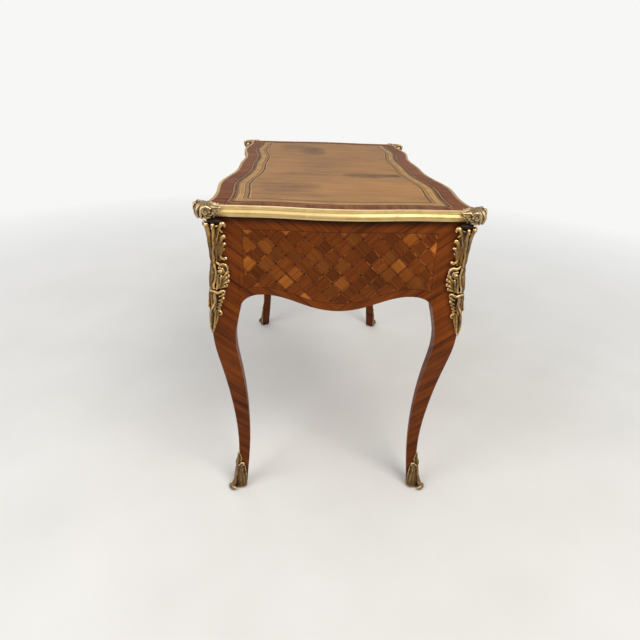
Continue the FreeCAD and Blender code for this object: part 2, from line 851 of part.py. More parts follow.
def face_at(x):
    """Distance of the serpentine face from the middle of the table, at a place along it."""
    place = abs(x) / post_half_length
    for nearer, further in zip(frieze_side_shares, frieze_side_shares[1:]):
        if nearer[0] <= place <= further[0]:
            part = (place - nearer[0]) / (further[0] - nearer[0])
            return (nearer[1] + (further[1] - nearer[1]) * part) * corner_half_depth
    return corner_half_depth


def handle_post(x, rear):
    """Post of a drop handle, with its rosette, eyed head and shank, and the seat it needs."""
    axis = handle_axis()
    seat = face_at(x) - rosette_sink
    outward = Vector(0, -1, 0)
    middle = Vector(x, -seat, handle_level)
    head = rod(Vector(x - post_head_width / 2, -axis, handle_level), Vector(1, 0, 0),
               post_head_radius, post_head_width, turned_side_count)
    neck = rod(middle, outward, post_neck_radius, axis - seat, pin_side_count)
    rosette = rod(middle, outward, rosette_radius, rosette_sink + rosette_height, turned_side_count)
    shank_start = Vector(x, -rear + nut_height + shank_end, handle_level)
    shank = rod(shank_start, outward, shank_radius, seat - rear + nut_height + shank_end, pin_side_count)
    eye = rod(Vector(x - overrun, -axis, handle_level), Vector(1, 0, 0),
              bail_radius + bail_play, overrun * 2, turned_side_count)
    post = head.fuse([neck, rosette, shank]).removeSplitter().cut(eye)
    bore_start = Vector(x, -axis, handle_level)
    bore = rod(bore_start, Vector(0, 1, 0), shank_radius + seat_gap, axis, pin_side_count)
    pocket = rod(middle, outward, rosette_radius + seat_gap, overrun, turned_side_count)
    return largest(post), bore.fuse(pocket)


def handle_nut(x, rear):
    """Hexagonal nut on the shank of a handle post, inside the drawer."""
    wire = Part.makePolygon([
        Vector(x + nut_radius * math.cos(math.pi * k / 3), -rear,
               handle_level + nut_radius * math.sin(math.pi * k / 3)) for k in range(7)])
    bore = rod(Vector(x, -rear - overrun, handle_level), Vector(0, 1, 0),
               shank_radius + seat_gap, overrun * 2, pin_side_count)
    return prism(wire, Vector(0, nut_height, 0)).cut(bore)


def handle_mounts(front_board, x1, x2):
    """Two posts and their nuts on a side drawer, and the drawer front drilled for them."""
    middle = (x1 + x2) / 2
    pieces = []
    board = front_board
    for x in (middle - handle_half_span, middle + handle_half_span):
        post, seat = handle_post(x, side_front_rear)
        board = board.cut(seat)
        pieces.append(post)
        pieces.append(handle_nut(x, side_front_rear))
    return board, Part.Compound(pieces)


def bend_points(centre, radius, first, second):
    """Places round a quarter bend in the upright plane, between two directions from its centre."""
    points = []
    for step in range(bend_step_count + 1):
        angle = math.pi / 2 * step / bend_step_count
        points.append(centre + first * (radius * math.cos(angle)) + second * (radius * math.sin(angle)))
    return points


def bail_line(middle):
    """Middle line of a drop handle from its right pin to the middle of the grip."""
    right = Vector(1, 0, 0)
    down = Vector(0, 0, -1)
    inner = Vector(middle + handle_half_span - bail_pin_inner, -handle_axis(), handle_level)
    bend = inner + right * (bail_pin_inner + bail_pin_outer)
    elbow = bend + right * bail_bend + down * (bail_drop - bail_sweep)
    line = [inner] + bend_points(bend + down * bail_bend, bail_bend, down * -1, right)
    return line + bend_points(elbow - right * bail_sweep, bail_sweep, right, down)


def bail(middle):
    """Drop handle: a bar bent down from its two pins, with a knop in the middle."""
    right = bail_line(middle)
    left = [Vector(middle * 2 - p.x, p.y, p.z) for p in reversed(right)]
    spine = Part.makePolygon(right + left)
    section = rod(right[0], Vector(1, 0, 0), bail_radius, overrun, pin_side_count)
    ends = [face for face in section.Faces if (face.CenterOfMass - right[0]).Length < bail_play]
    bar = spine.makePipeShell([ends[0].OuterWire], True, False, 1)
    if bar.Volume < 0:
        bar.reverse()
    start = Vector(middle - bail_knop_width / 2, -handle_axis(), handle_level - bail_drop)
    knop = rod(start, Vector(1, 0, 0), bail_knop_radius, bail_knop_width, turned_side_count)
    return knop.fuse(bar).removeSplitter()


def key(middle, rear, level):
    """Key of the centre drawer: round bow, stem and bit."""
    face = corner_half_depth * frieze_side_shares[0][1] + escutcheon_thickness
    bow_y = -face - key_standoff - key_bow_radius
    outward = Vector(1, 0, 0)
    bow_start = Vector(middle - key_bow_thickness / 2, bow_y, level)
    bow = rod(bow_start, outward, key_bow_radius, key_bow_thickness, turned_side_count)
    eye_radius = key_bow_radius - key_bow_band
    bow = bow.cut(rod(bow_start, outward, eye_radius, key_bow_thickness, turned_side_count))
    stem_start = bow_y + key_bow_radius - key_bow_band / 2
    bit_front = -rear - lock_depth + lock_wall + bolt_play
    stem = cylinder(Vector(middle, stem_start, level), Vector(0, 1, 0), key_stem_radius,
                    bit_front + key_bit_width - stem_start)
    bit = box(middle - key_bit_thickness / 2, middle + key_bit_thickness / 2,
              bit_front, bit_front + key_bit_width, level - key_bit_reach, level)
    return bow.fuse([stem, bit]).removeSplitter()


def swing_at(height_share):
    """Swing of the leg's arris at a height, between the places of the leg table."""
    for lower, upper in zip(leg_shares, leg_shares[1:]):
        if lower[0] <= height_share <= upper[0]:
            part = (height_share - lower[0]) / (upper[0] - lower[0])
            return lower[1] + (upper[1] - lower[1]) * part
    return leg_shares[-1][1]


def brass_angle(plate_line, arm_line, nose_line, nose_width, curve):
    """Brass that wraps the arris of a leg; each line gives (height share, distance) places."""
    outer = []
    for height_share, plate in plate_line:
        outer.append((swing_at(height_share) * leg_swing + seat_gap + plate, height_share * frame_height))
    inner = []
    for height_share, arm in arm_line:
        inner.append((swing_at(height_share) * leg_swing - arm, height_share * frame_height))
    nose = []
    back = []
    least_swing = min(swing_at(row[0]) for row in nose_line) * leg_swing
    for height_share, height in nose_line:
        reach = swing_at(height_share) * leg_swing + height
        nose.append((reach * root_two - nose_width / 2, height_share * frame_height))
        back.append((least_swing * root_two - nose_width, height_share * frame_height))
    rib = diagonal_profile(nose, [back[0], back[-1]], nose_width, curve)
    return two_way(outer, inner, curve).fuse(rib)


def corner_mount():
    """Long brass mount on the knee and frieze of the back right leg."""
    plate_line = [(share, mount_plate) for share in mount_plate_shares]
    arm_line = [(share, arm * mount_arm) for share, arm in mount_arm_shares]
    nose_line = [(share, nose * mount_nose) for share, nose in mount_nose_shares]
    body = brass_angle(plate_line, arm_line, nose_line, mount_rib, short_sides)
    return largest(body.cut(leg_form(seat_gap)))


def shoe():
    """Brass shoe of the back right leg, with its scrolled toe and the leaf above it."""
    outer = []
    inner = []
    toe_line = []
    heel_line = []
    for share, toe_share, wall_share in shoe_shares:
        level = share * shoe_height
        swing = swing_at(level / frame_height) * leg_swing
        wall = wall_share * shoe_wall
        outer.append((swing + wall, level))
        inner.append((swing - leg_shares[0][2] * knee_width - wall, level))
        toe_line.append(((swing + toe_share * shoe_toe) * root_two - shoe_scroll_width / 2, level))
        heel_line.append((swing * root_two - shoe_wall * 2, level))
    form = two_way(outer, inner, Part.makePolygon)
    toe = diagonal_profile(toe_line, [heel_line[0], heel_line[-1]], shoe_scroll_width, Part.makePolygon)
    form = form.fuse(toe)
    x, y = corner_point(swing_at(0))
    tip = shoe_toe - shoe_scroll_width / 2 / root_two
    across = Vector(-1 / root_two, 1 / root_two, 0)
    start = Vector(x + tip, y + tip, shoe_scroll_radius) - across * (shoe_scroll_width / 2)
    scroll = rod(start, across, shoe_scroll_radius, shoe_scroll_width, turned_side_count)
    base = (shoe_height - leaf_overlap) / frame_height
    rise = leaf_height / frame_height
    arm_line = [(base + share * rise, arm * leaf_arm) for share, arm in leaf_arm_shares]
    nose_line = [(base + share * rise, nose * shoe_toe) for share, nose in leaf_nose_shares]
    plate_line = [(share, shoe_wall / 2) for share, arm in arm_line]
    leaf = brass_angle(plate_line, arm_line, nose_line, leaf_rib, Part.makePolygon)
    pocket = leg_form(seat_gap).cut(box(0, top_half_length, 0, top_half_length, -overrun, shoe_sole))
    return largest(form.fuse([scroll, leaf]).cut(pocket))


def pin(start, direction, face):
    """Flat-headed brass pin let into a face, and the stepped hole it needs."""
    seat = face - pin_head_height
    head = rod(start + direction * seat, direction, pin_head_radius, pin_head_height, pin_side_count)
    shank = rod(start - direction * pin_length, direction, pin_radius, pin_length + seat, shank_side_count)
    hole = rod(start - direction * (pin_length + pin_play), direction, pin_radius + pin_play,
               pin_length + seat + pin_play, shank_side_count)
    pocket = rod(start + direction * seat, direction, pin_head_radius + pin_play, overrun, pin_side_count)
    return shank.fuse(head), hole.fuse(pocket)


def fasteners():
    """Pins of a corner mount and of a clasp, and the dowel of a leg, at the back right."""
    diagonal = Vector(1 / root_two, 1 / root_two, 0)
    mount_pins = []
    mount_holes = []
    for height_share in mount_pin_shares:
        x, y = corner_point(swing_at(height_share))
        nose = nose_at(height_share)
        head_at = nose * root_two - mount_rib / 2
        made, hole = pin(Vector(x, y, height_share * frame_height), diagonal, head_at)
        mount_pins.append(made)
        mount_holes.append(hole)
    clasp_place = side_points()[-1] + Vector(clasp_pin_shares[0], clasp_pin_shares[1], 0) * clasp_reach
    clasp_place.z = top_height
    clasp_pin, clasp_hole = pin(clasp_place, Vector(0, 0, 1), clasp_rise)
    dowel_x = corner_half_length - dowel_setback
    dowel_y = corner_half_depth - dowel_setback
    dowel_start = Vector(dowel_x, dowel_y, frame_height - dowel_length / 2)
    dowel = rod(dowel_start, Vector(0, 0, 1), dowel_radius, dowel_length, pin_side_count)
    dowel_hole = rod(dowel_start - Vector(0, 0, dowel_play), Vector(0, 0, 1),
                     dowel_radius + dowel_play, dowel_length + dowel_play * 2, pin_side_count)
    return mount_pins, mount_holes, clasp_pin, clasp_hole, dowel, dowel_hole


def nose_at(height_share):
    """Height of the corner mount's nose over the arris at a height of the leg."""
    for upper, lower in zip(mount_nose_shares, mount_nose_shares[1:]):
        if lower[0] <= height_share <= upper[0]:
            part = (height_share - lower[0]) / (upper[0] - lower[0])
            return (lower[1] + (upper[1] - lower[1]) * part) * mount_nose
    return mount_nose


def all_corners(shapes):
    """Every shape of a list, at all four corners, as one list."""
    result = []
    for shape in shapes:
        result.extend(four_corners(shape, "copy").values())
    return result


def build():
    """All nodes of the table by name."""
    nodes = {}
    back = long_volume()
    front = mirror_y(back)
    mount_pins, mount_holes, clasp_pin, clasp_hole, dowel, dowel_hole = fasteners()

    nodes.update(edge_mouldings())
    top = top_pieces()
    for piece in all_corners([dowel_hole, clasp_hole]):
        top["top_board"] = top["top_board"].cut(piece)
    for piece in all_corners([clasp_hole]):
        top["top_border"] = top["top_border"].cut(piece)
    nodes.update(top)
    nodes.update(four_corners(clasp().cut(clasp_hole), "clasp"))

    tenons = [end_tenon(), long_tenon(frame_height - tenon_drop, tenon_height)]
    apron_tenon = long_tenon(side_rail_level - groove_width, apron_tenon_height)
    rear_leg = leg(tenons + mount_holes + [dowel_hole])
    fore_leg = leg([tenons[0], apron_tenon] + mount_holes + [dowel_hole])
    nodes["leg_back_right"] = rear_leg
    nodes["leg_back_left"] = mirror_x(rear_leg)
    nodes["leg_front_right"] = mirror_y(fore_leg)
    nodes["leg_front_left"] = mirror_x(mirror_y(fore_leg))

    mount_body = corner_mount()
    for hole in mount_holes:
        mount_body = mount_body.cut(hole)
    nodes.update(four_corners(largest(mount_body), "corner_mount"))
    nodes.update(four_corners(shoe(), "shoe"))
    nodes["mount_pins"] = Part.Compound(all_corners(mount_pins + [clasp_pin]))
    nodes["top_dowels"] = Part.Compound(all_corners([dowel]))

    panel = end_panel()
    nodes["end_panel_right"] = panel
    nodes["end_panel_left"] = mirror_x(panel)
    nodes["back_panel"] = back_panel(back)
    apron = front_apron(front)
    rail = top_rail(front)
    nodes["front_apron"] = apron
    nodes["front_top_rail"] = rail
    board = partition(front, [apron, rail])
    nodes["partition_right"] = board
    nodes["partition_left"] = mirror_x(board)
    nodes["drawer_runners"] = runners()

    layer = face_layer(escutcheon_thickness)
    labels = ("left_drawer", "centre_drawer", "right_drawer")
    for label, (x1, x2, floor) in zip(labels, drawer_openings()):
        centre = label == "centre_drawer"
        pieces = drawer(front, layer, x1, x2, floor, centre_tail_count if centre else side_tail_count)
        board = pieces["front"]
        middle = (x1 + x2) / 2
        if centre:
            level = frame_height - top_rail_thickness - drawer_gap - key_drop
            nodes["centre_drawer_lock"] = pieces["lock"]
            nodes["centre_drawer_bolt"] = pieces["bolt"]
            nodes["centre_drawer_key"] = key(middle, centre_front_rear, level)
        else:
            board, mounts = handle_mounts(board, x1, x2)
            side = label.split("_")[0]
            nodes[side + "_handle_mounts"] = mounts
            nodes[side + "_handle_bail"] = bail(middle)
            nodes[label + "_lock"] = Part.Compound([pieces["lock"], pieces["bolt"]])
        nodes[label + "_front"] = board
        nodes[label + "_side_left"] = pieces["side_left"]
        nodes[label + "_side_right"] = pieces["side_right"]
        nodes[label + "_back"] = pieces["back"]
        nodes[label + "_bottom"] = pieces["bottom"]
        nodes[label + "_escutcheon"] = pieces["plate"]
    return nodes


for node_name, node_shape in build().items():
    node_shape.exportStep("parts/" + node_name + ".step")
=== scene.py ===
import logging
import math
from dataclasses import dataclass, field
from enum import Enum
from typing import Callable, Sequence

import bpy
import numpy as np
from mathutils import Matrix, Vector


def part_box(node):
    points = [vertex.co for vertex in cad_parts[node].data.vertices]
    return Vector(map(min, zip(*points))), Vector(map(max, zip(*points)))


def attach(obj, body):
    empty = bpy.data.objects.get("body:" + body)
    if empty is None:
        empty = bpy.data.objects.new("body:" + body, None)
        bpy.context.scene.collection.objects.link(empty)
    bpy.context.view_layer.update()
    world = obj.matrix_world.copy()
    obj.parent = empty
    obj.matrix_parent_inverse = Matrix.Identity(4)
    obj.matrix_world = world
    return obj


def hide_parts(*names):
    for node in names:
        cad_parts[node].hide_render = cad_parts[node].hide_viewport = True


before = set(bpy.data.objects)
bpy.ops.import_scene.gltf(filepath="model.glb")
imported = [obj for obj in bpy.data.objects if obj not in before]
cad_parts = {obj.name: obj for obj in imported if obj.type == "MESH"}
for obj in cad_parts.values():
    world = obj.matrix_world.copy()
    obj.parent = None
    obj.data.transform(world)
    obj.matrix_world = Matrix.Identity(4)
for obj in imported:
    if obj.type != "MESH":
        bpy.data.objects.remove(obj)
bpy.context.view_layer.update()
LOG = logging.getLogger("writing_table")

# Lengths are in metres, except in the castings' flat layouts, which are in millimetres.
MILLIMETRE = 0.001
TOP_LEVEL = 0.780
FRAME_LEVEL = 0.757
CORNER = Vector((0.503, 0.263, 0.0))
PIN_HEAD_LEVEL = TOP_LEVEL - 0.0005
PIN_HEAD_SHARE = 0.4
MERGE_DISTANCE = 0.00001
WOOD_ANGLE = math.radians(28)
HIDE_ANGLE = math.radians(30)
CASTING_ANGLE = math.radians(35)
ARRIS_RADIUS = 0.0025
CHASING = 0.0010
CHASING_SCALE = 0.0085
# How proud the parts that aren't melted count, from 0 for a hollow to 1 for a ridge.
CRISP_RELIEF = 0.64
PLATE_RELIEF = 0.42
SOLE_LEVEL = 0.0004
VENEER_SKIN = 0.00012
CLOUD_SCALE = 9.0
# Heights of a band of painted shadow on the wood right under the brass edge, and the wood's brightness in
# it.
UNDER_TOP_SHADOW_LEVELS = (0.7390, 0.7510)
UNDER_TOP_SHADOW_BRIGHTNESS = 0.30
STUDIO_WHITE = (0.93, 0.93, 0.92, 1.0)
# Heights in metres, and how far the legs' arris swings out there, in millimetres.
LEG_SWING = ((0.000, -15.5), (0.135, -24.5), (0.260, -18.2), (0.400, 1.6), (0.495, 13.5), (0.575, 6.5),
             (0.660, 0.0), (0.790, 0.0))

Place = tuple[float, float, float]
Places = Sequence[Place]
Colour = tuple[float, float, float, float]
Tint = tuple[int, int, int]
Outline = tuple[tuple[float, float], ...]


def shade(red: int, green: int, blue: int) -> Colour:
    """A colour as it looks on a screen, turned into the light that it stands for.

    Args:
        red: Red, 0 to 255.
        green: Green, 0 to 255.
        blue: Blue, 0 to 255.

    Returns:
        The linear colour with full opacity.
    """
    linear = []
    for part in (red / 255, green / 255, blue / 255):
        linear.append(part / 12.92 if part <= 0.04045 else ((part + 0.055) / 1.055) ** 2.4)
    return (linear[0], linear[1], linear[2], 1.0)


class Corner(Enum):
    """The four corners of the table, as signs of X and Y."""

    FRONT_LEFT = (-1, -1)
    FRONT_RIGHT = (1, -1)
    BACK_LEFT = (-1, 1)
    BACK_RIGHT = (1, 1)

    @property
    def label(self) -> str:
        """The corner's name in node names."""
        return self.name.lower()


def operator(operation: str, meaning: str, turned: bool = False) -> Callable[..., "Signal"]:
    """Makes a method of Signal that adds one Math node.

    Args:
        operation: Name of the node's operation.
        meaning: What the method gives.
        turned: Whether the two values change places.

    Returns:
        The method.
    """

    def method(self: "Signal", other: object = 0.0) -> "Signal":
        first, second = (other, self) if turned else (self, other)
        return self.math(operation, first, second)

    method.__doc__ = meaning
    return method


class Signal:
    """An output socket that Python's operators turn into Math nodes."""

    __add__ = __radd__ = operator("ADD", "Sum of two values.")
    __sub__ = operator("SUBTRACT", "This value less another.")
    __rsub__ = operator("SUBTRACT", "Another value less this one.", turned=True)
    __mul__ = __rmul__ = operator("MULTIPLY", "Product of two values.")
    __truediv__ = operator("DIVIDE", "This value over another.")
    __mod__ = operator("MODULO", "What is left after a division.")
    __abs__ = operator("ABSOLUTE", "The value without its sign.")
    __pow__ = operator("POWER", "The value raised to a power.")
    rounded = operator("ROUND", "The nearest whole number.")
    below = operator("LESS_THAN", "One where the value is under the limit, else nought.")
    above = operator("GREATER_THAN", "One where the value is over the limit, else nought.")
    lesser = operator("MINIMUM", "The smaller of two values.")
    greater = operator("MAXIMUM", "The larger of two values.")
    wave = operator("SINE", "Sine of the value.")

    def __init__(self, sheet: "Sheet", socket: bpy.types.NodeSocket) -> None:
        """Keeps the sheet that the socket is on."""
        self.sheet = sheet
        self.socket = socket

    def math(self, operation: str, first: object, second: object = 0.0) -> "Signal":
        """The result of one Math node with two values or signals."""
        return self.sheet.node("ShaderNodeMath", {"operation": operation}, {0: first, 1: second, 2: 0.0})

    def line(self, centre: float, half_width: float, blur: float = 0.0006) -> "Signal":
        """A soft-edged line where the value is near a centre.

        Args:
            centre: Value at the middle of the line.
            half_width: Half the line's width.
            blur: Width over which its edge fades.

        Returns:
            One on the line, nought away from it.
        """
        return self.sheet.fit(abs(self - centre), half_width + blur, half_width)


class Sheet:
    """One material or world and the nodes that are laid out on it."""

    def __init__(self, name: str, world: bool = False) -> None:
        """Starts an empty material or world of that name."""
        self.material = (bpy.data.worlds if world else bpy.data.materials).new(name)
        self.material.use_nodes = True
        self.tree = self.material.node_tree
        self.tree.nodes.clear()

    def node(self, kind: str, settings: dict[str, object] | None = None,
             values: dict[int | str, object] | None = None, output: int = 0) -> Signal:
        """Adds a node.

        Args:
            kind: The node's type.
            settings: Its properties; stops and curve are lists of places and values.
            values: What each input socket gets, a number, a tuple or a signal.
            output: Which output to hand back.

        Returns:
            That output.
        """
        node = self.tree.nodes.new(kind)
        for key, value in (settings or {}).items():
            if key == "stops":
                self.set_stops(node, value)
            elif key == "curve":
                self.set_curve(node, value)
            else:
                setattr(node, key, value)
        for key, value in (values or {}).items():
            self.feed(node.inputs[key], value)
        return Signal(self, node.outputs[output] if len(node.outputs) else None)

    def set_stops(self, node: bpy.types.Node, stops: Sequence[tuple[float, Colour]]) -> None:
        """Gives a colour ramp its stops."""
        elements = node.color_ramp.elements
        while len(elements) < len(stops):
            elements.new(0.5)
        for element, (place, colour) in zip(elements, stops):
            element.position = place
            element.color = colour

    def set_curve(self, node: bpy.types.Node, places: Sequence[tuple[float, float]]) -> None:
        """Gives a float curve its points."""
        points = node.mapping.curves[0].points
        while len(points) < len(places):
            points.new(0.5, 0.5)
        for point, place in zip(points, places):
            point.location = place
        node.mapping.update()

    def feed(self, socket: bpy.types.NodeSocket, value: object) -> None:
        """Links a signal to an input socket, or writes a number or tuple on it."""
        if isinstance(value, Signal):
            self.tree.links.new(value.socket, socket)
        elif isinstance(value, (tuple, list)) and len(value) > len(socket.default_value):
            socket.default_value = value[: len(socket.default_value)]
        elif isinstance(value, (tuple, list)) and len(value) < len(socket.default_value):
            socket.default_value = (*value, 1.0)
        else:
            socket.default_value = value

    def place(self) -> tuple[Signal, Signal, Signal]:
        """The object's own X, Y and Z, in metres."""
        coordinate = self.node("ShaderNodeTexCoord", output=3)
        split = self.node("ShaderNodeSeparateXYZ", values={0: coordinate}).socket.node
        return tuple(Signal(self, socket) for socket in split.outputs)

    def surface_map(self) -> tuple[Signal, Signal]:
        """The piece's own map: along its edge, and in from its edge, in metres."""
        coordinate = self.node("ShaderNodeUVMap", {"uv_map": "edge_map"})
        split = self.node("ShaderNodeSeparateXYZ", values={0: coordinate}).socket.node
        return Signal(self, split.outputs[0]), Signal(self, split.outputs[1])

    def vector(self, x: object, y: object, z: object) -> Signal:
        """A vector put together from three values."""
        return self.node("ShaderNodeCombineXYZ", values={0: x, 1: y, 2: z})

    def noise(self, x: object, y: object, z: object, scale: float = 1.0, detail: float = 2.0,
              roughness: float = 0.5, distortion: float = 0.0) -> Signal:
        """Smooth noise from 0 to 1 over three values."""
        values = {"Vector": self.vector(x, y, z), "Scale": scale, "Detail": detail,
                  "Roughness": roughness, "Distortion": distortion}
        return self.node("ShaderNodeTexNoise", values=values)

    def chance(self, x: object, y: object, z: object = 0.0) -> Signal:
        """An even random number for each whole-numbered cell."""
        return self.node("ShaderNodeTexWhiteNoise", {"noise_dimensions": "3D"},
                         {"Vector": self.vector(x, y, z)})

    def fit(self, value: object, low: float, high: float, start: float = 0.0, end: float = 1.0) -> Signal:
        """Stretches a range of values onto another and clamps it."""
        return self.node("ShaderNodeMapRange", values={0: value, 1: low, 2: high, 3: start, 4: end})

    def ramp(self, value: object, stops: Sequence[tuple[float, Colour]]) -> Signal:
        """Turns a value into a colour by stops."""
        return self.node("ShaderNodeValToRGB", {"stops": stops}, {0: value})

    def blend(self, factor: object, first: object, second: object) -> Signal:
        """Mixes two colours."""
        return self.node("ShaderNodeMix", {"data_type": "RGBA"}, {0: factor, 6: first, 7: second}, 2)

    def choose(self, factor: object, first: object, second: object) -> Signal:
        """Mixes two values."""
        return self.node("ShaderNodeMix", {"data_type": "FLOAT"}, {0: factor, 2: first, 3: second})

    def brighten(self, colour: object, amount: object) -> Signal:
        """A colour made lighter or darker by a factor."""
        return self.node("ShaderNodeVectorMath", {"operation": "SCALE"}, {0: colour, 3: amount})

    def painted_shadow_under_top(self, level: Signal) -> Signal:
        """Brightness of the wood, lower in the grime right under the brass edge."""
        return self.fit(level, *UNDER_TOP_SHADOW_LEVELS, 1.0, UNDER_TOP_SHADOW_BRIGHTNESS)

    def bump(self, height: object, depth: float, strength: float = 0.6) -> Signal:
        """A Normal signal that raises the surface by a height of 0 to 1 times a depth in metres."""
        return self.node("ShaderNodeBump", values={"Strength": strength, "Distance": depth,
                                                   "Height": height})

    def finish(self, colour: object, roughness: object, normal: Signal | None = None,
               metallic: object = 0.0, coat: float = 0.0, specular: float = 0.5) -> bpy.types.Material:
        """Closes the material with its surface shader.

        Args:
            colour: Base colour.
            roughness: Roughness.
            normal: Bumped normal, or None.
            metallic: Share that is metal.
            coat: Weight of a clear polish.
            specular: Level of the plain reflection.

        Returns:
            The finished material.
        """
        values: dict[int | str, object] = {
            "Base Color": colour, "Roughness": roughness, "Metallic": metallic,
            "Coat Weight": coat, "Coat Roughness": 0.2, "Specular IOR Level": specular,
        }
        if normal is not None:
            values["Normal"] = normal
        surface = self.node("ShaderNodeBsdfPrincipled", values=values)
        self.node("ShaderNodeOutputMaterial", values={0: surface})
        return self.material


@dataclass(frozen=True)
class WoodTone:
    """Dark line, body and light streak of one wood."""

    dark: Colour
    body: Colour
    light: Colour


KINGWOOD = WoodTone(shade(58, 23, 3), shade(102, 47, 8), shade(140, 70, 18))
TULIPWOOD = WoodTone(shade(114, 58, 18), shade(160, 90, 30), shade(194, 120, 48))
BORDER_WOOD = WoodTone(shade(66, 33, 18), shade(108, 58, 32), shade(132, 80, 48))
PLAIN_OAK = WoodTone(shade(120, 86, 52), shade(170, 130, 84), shade(198, 160, 112))


@dataclass(frozen=True)
class GrainLayer:
    """One noise of a wood's figure: its counts along and across, its kind and its weight."""

    along: float
    across: float
    detail: float
    roughness: float
    distortion: float
    weight: float


GRAIN_LAYERS = (
    GrainLayer(3.2, 0.55, 2, 0.5, 0.35, 0.46),
    GrainLayer(9, 2.6, 3, 0.6, 0.0, 0.36),
    GrainLayer(30, 11, 1, 0.5, 0.0, 0.18),
)


def wood_grain(sheet: Sheet, along: object, across: object, depth: object, stripe: float = 0.007) -> Signal:
    """Striped figure of sawn veneer.

    Args:
        sheet: Material sheet.
        along: Metres along the grain.
        across: Metres across the grain.
        depth: Anything that differs from leaf to leaf.
        stripe: Width of a broad stripe in metres.

    Returns:
        Nought in the dark lines, one in the light streaks.
    """
    count = 1 / stripe
    figure: object = 0.0
    for layer in GRAIN_LAYERS:
        noise = sheet.noise(along * layer.along, across * count * layer.across, depth, 1.0, layer.detail,
                            layer.roughness, layer.distortion)
        figure = noise * layer.weight + figure
    return sheet.fit(figure, 0.30, 0.72)


def wood_colour(sheet: Sheet, figure: Signal, tone: WoodTone) -> Signal:
    """Colours a figure with the tones of one wood."""
    return sheet.ramp(figure, [(0.0, tone.dark), (0.14, tone.dark), (0.42, tone.body), (1.0, tone.light)])


@dataclass(frozen=True)
class FriezeVeneer:
    """Kingwood laid with its grain rising towards the corners, on legs and rails."""

    name: str = "frieze_veneer"
    lean: float = math.radians(38)

    def grain(self, sheet: Sheet) -> Signal:
        """Figure of the veneer, mirrored about the middle of each side."""
        x, y, z = sheet.place()
        out = abs(x) + abs(y)
        along = out * math.cos(self.lean) + z * math.sin(self.lean)
        across = z * math.cos(self.lean) - out * math.sin(self.lean)
        corner = x.above(0.0) * 3.7 + y.above(0.0) * 7.9
        return wood_grain(sheet, along, across, corner)

    def material(self) -> bpy.types.Material:
        """Veneer under worn polish."""
        sheet = Sheet(self.name)
        figure = self.grain(sheet)
        colour = wood_colour(sheet, figure, KINGWOOD)
        x, y, z = sheet.place()
        cloud = sheet.noise(x, y, z, CLOUD_SCALE, 3)
        colour = sheet.brighten(colour, sheet.fit(cloud, 0.3, 0.7, 0.80, 1.18))
        # Darker towards the foot, and right under the brass edge a band of painted shadow.
        foot = sheet.fit(z, 0.0, 0.46, 0.68, 1.0)
        colour = sheet.brighten(colour, foot * sheet.painted_shadow_under_top(z))
        scratches = sheet.noise(x, y, z, 420.0, 2)
        rough = sheet.fit(scratches + cloud * 0.5, 0.5, 1.0, 0.24, 0.42)
        return sheet.finish(colour, rough, sheet.bump(figure, VENEER_SKIN), specular=0.10)


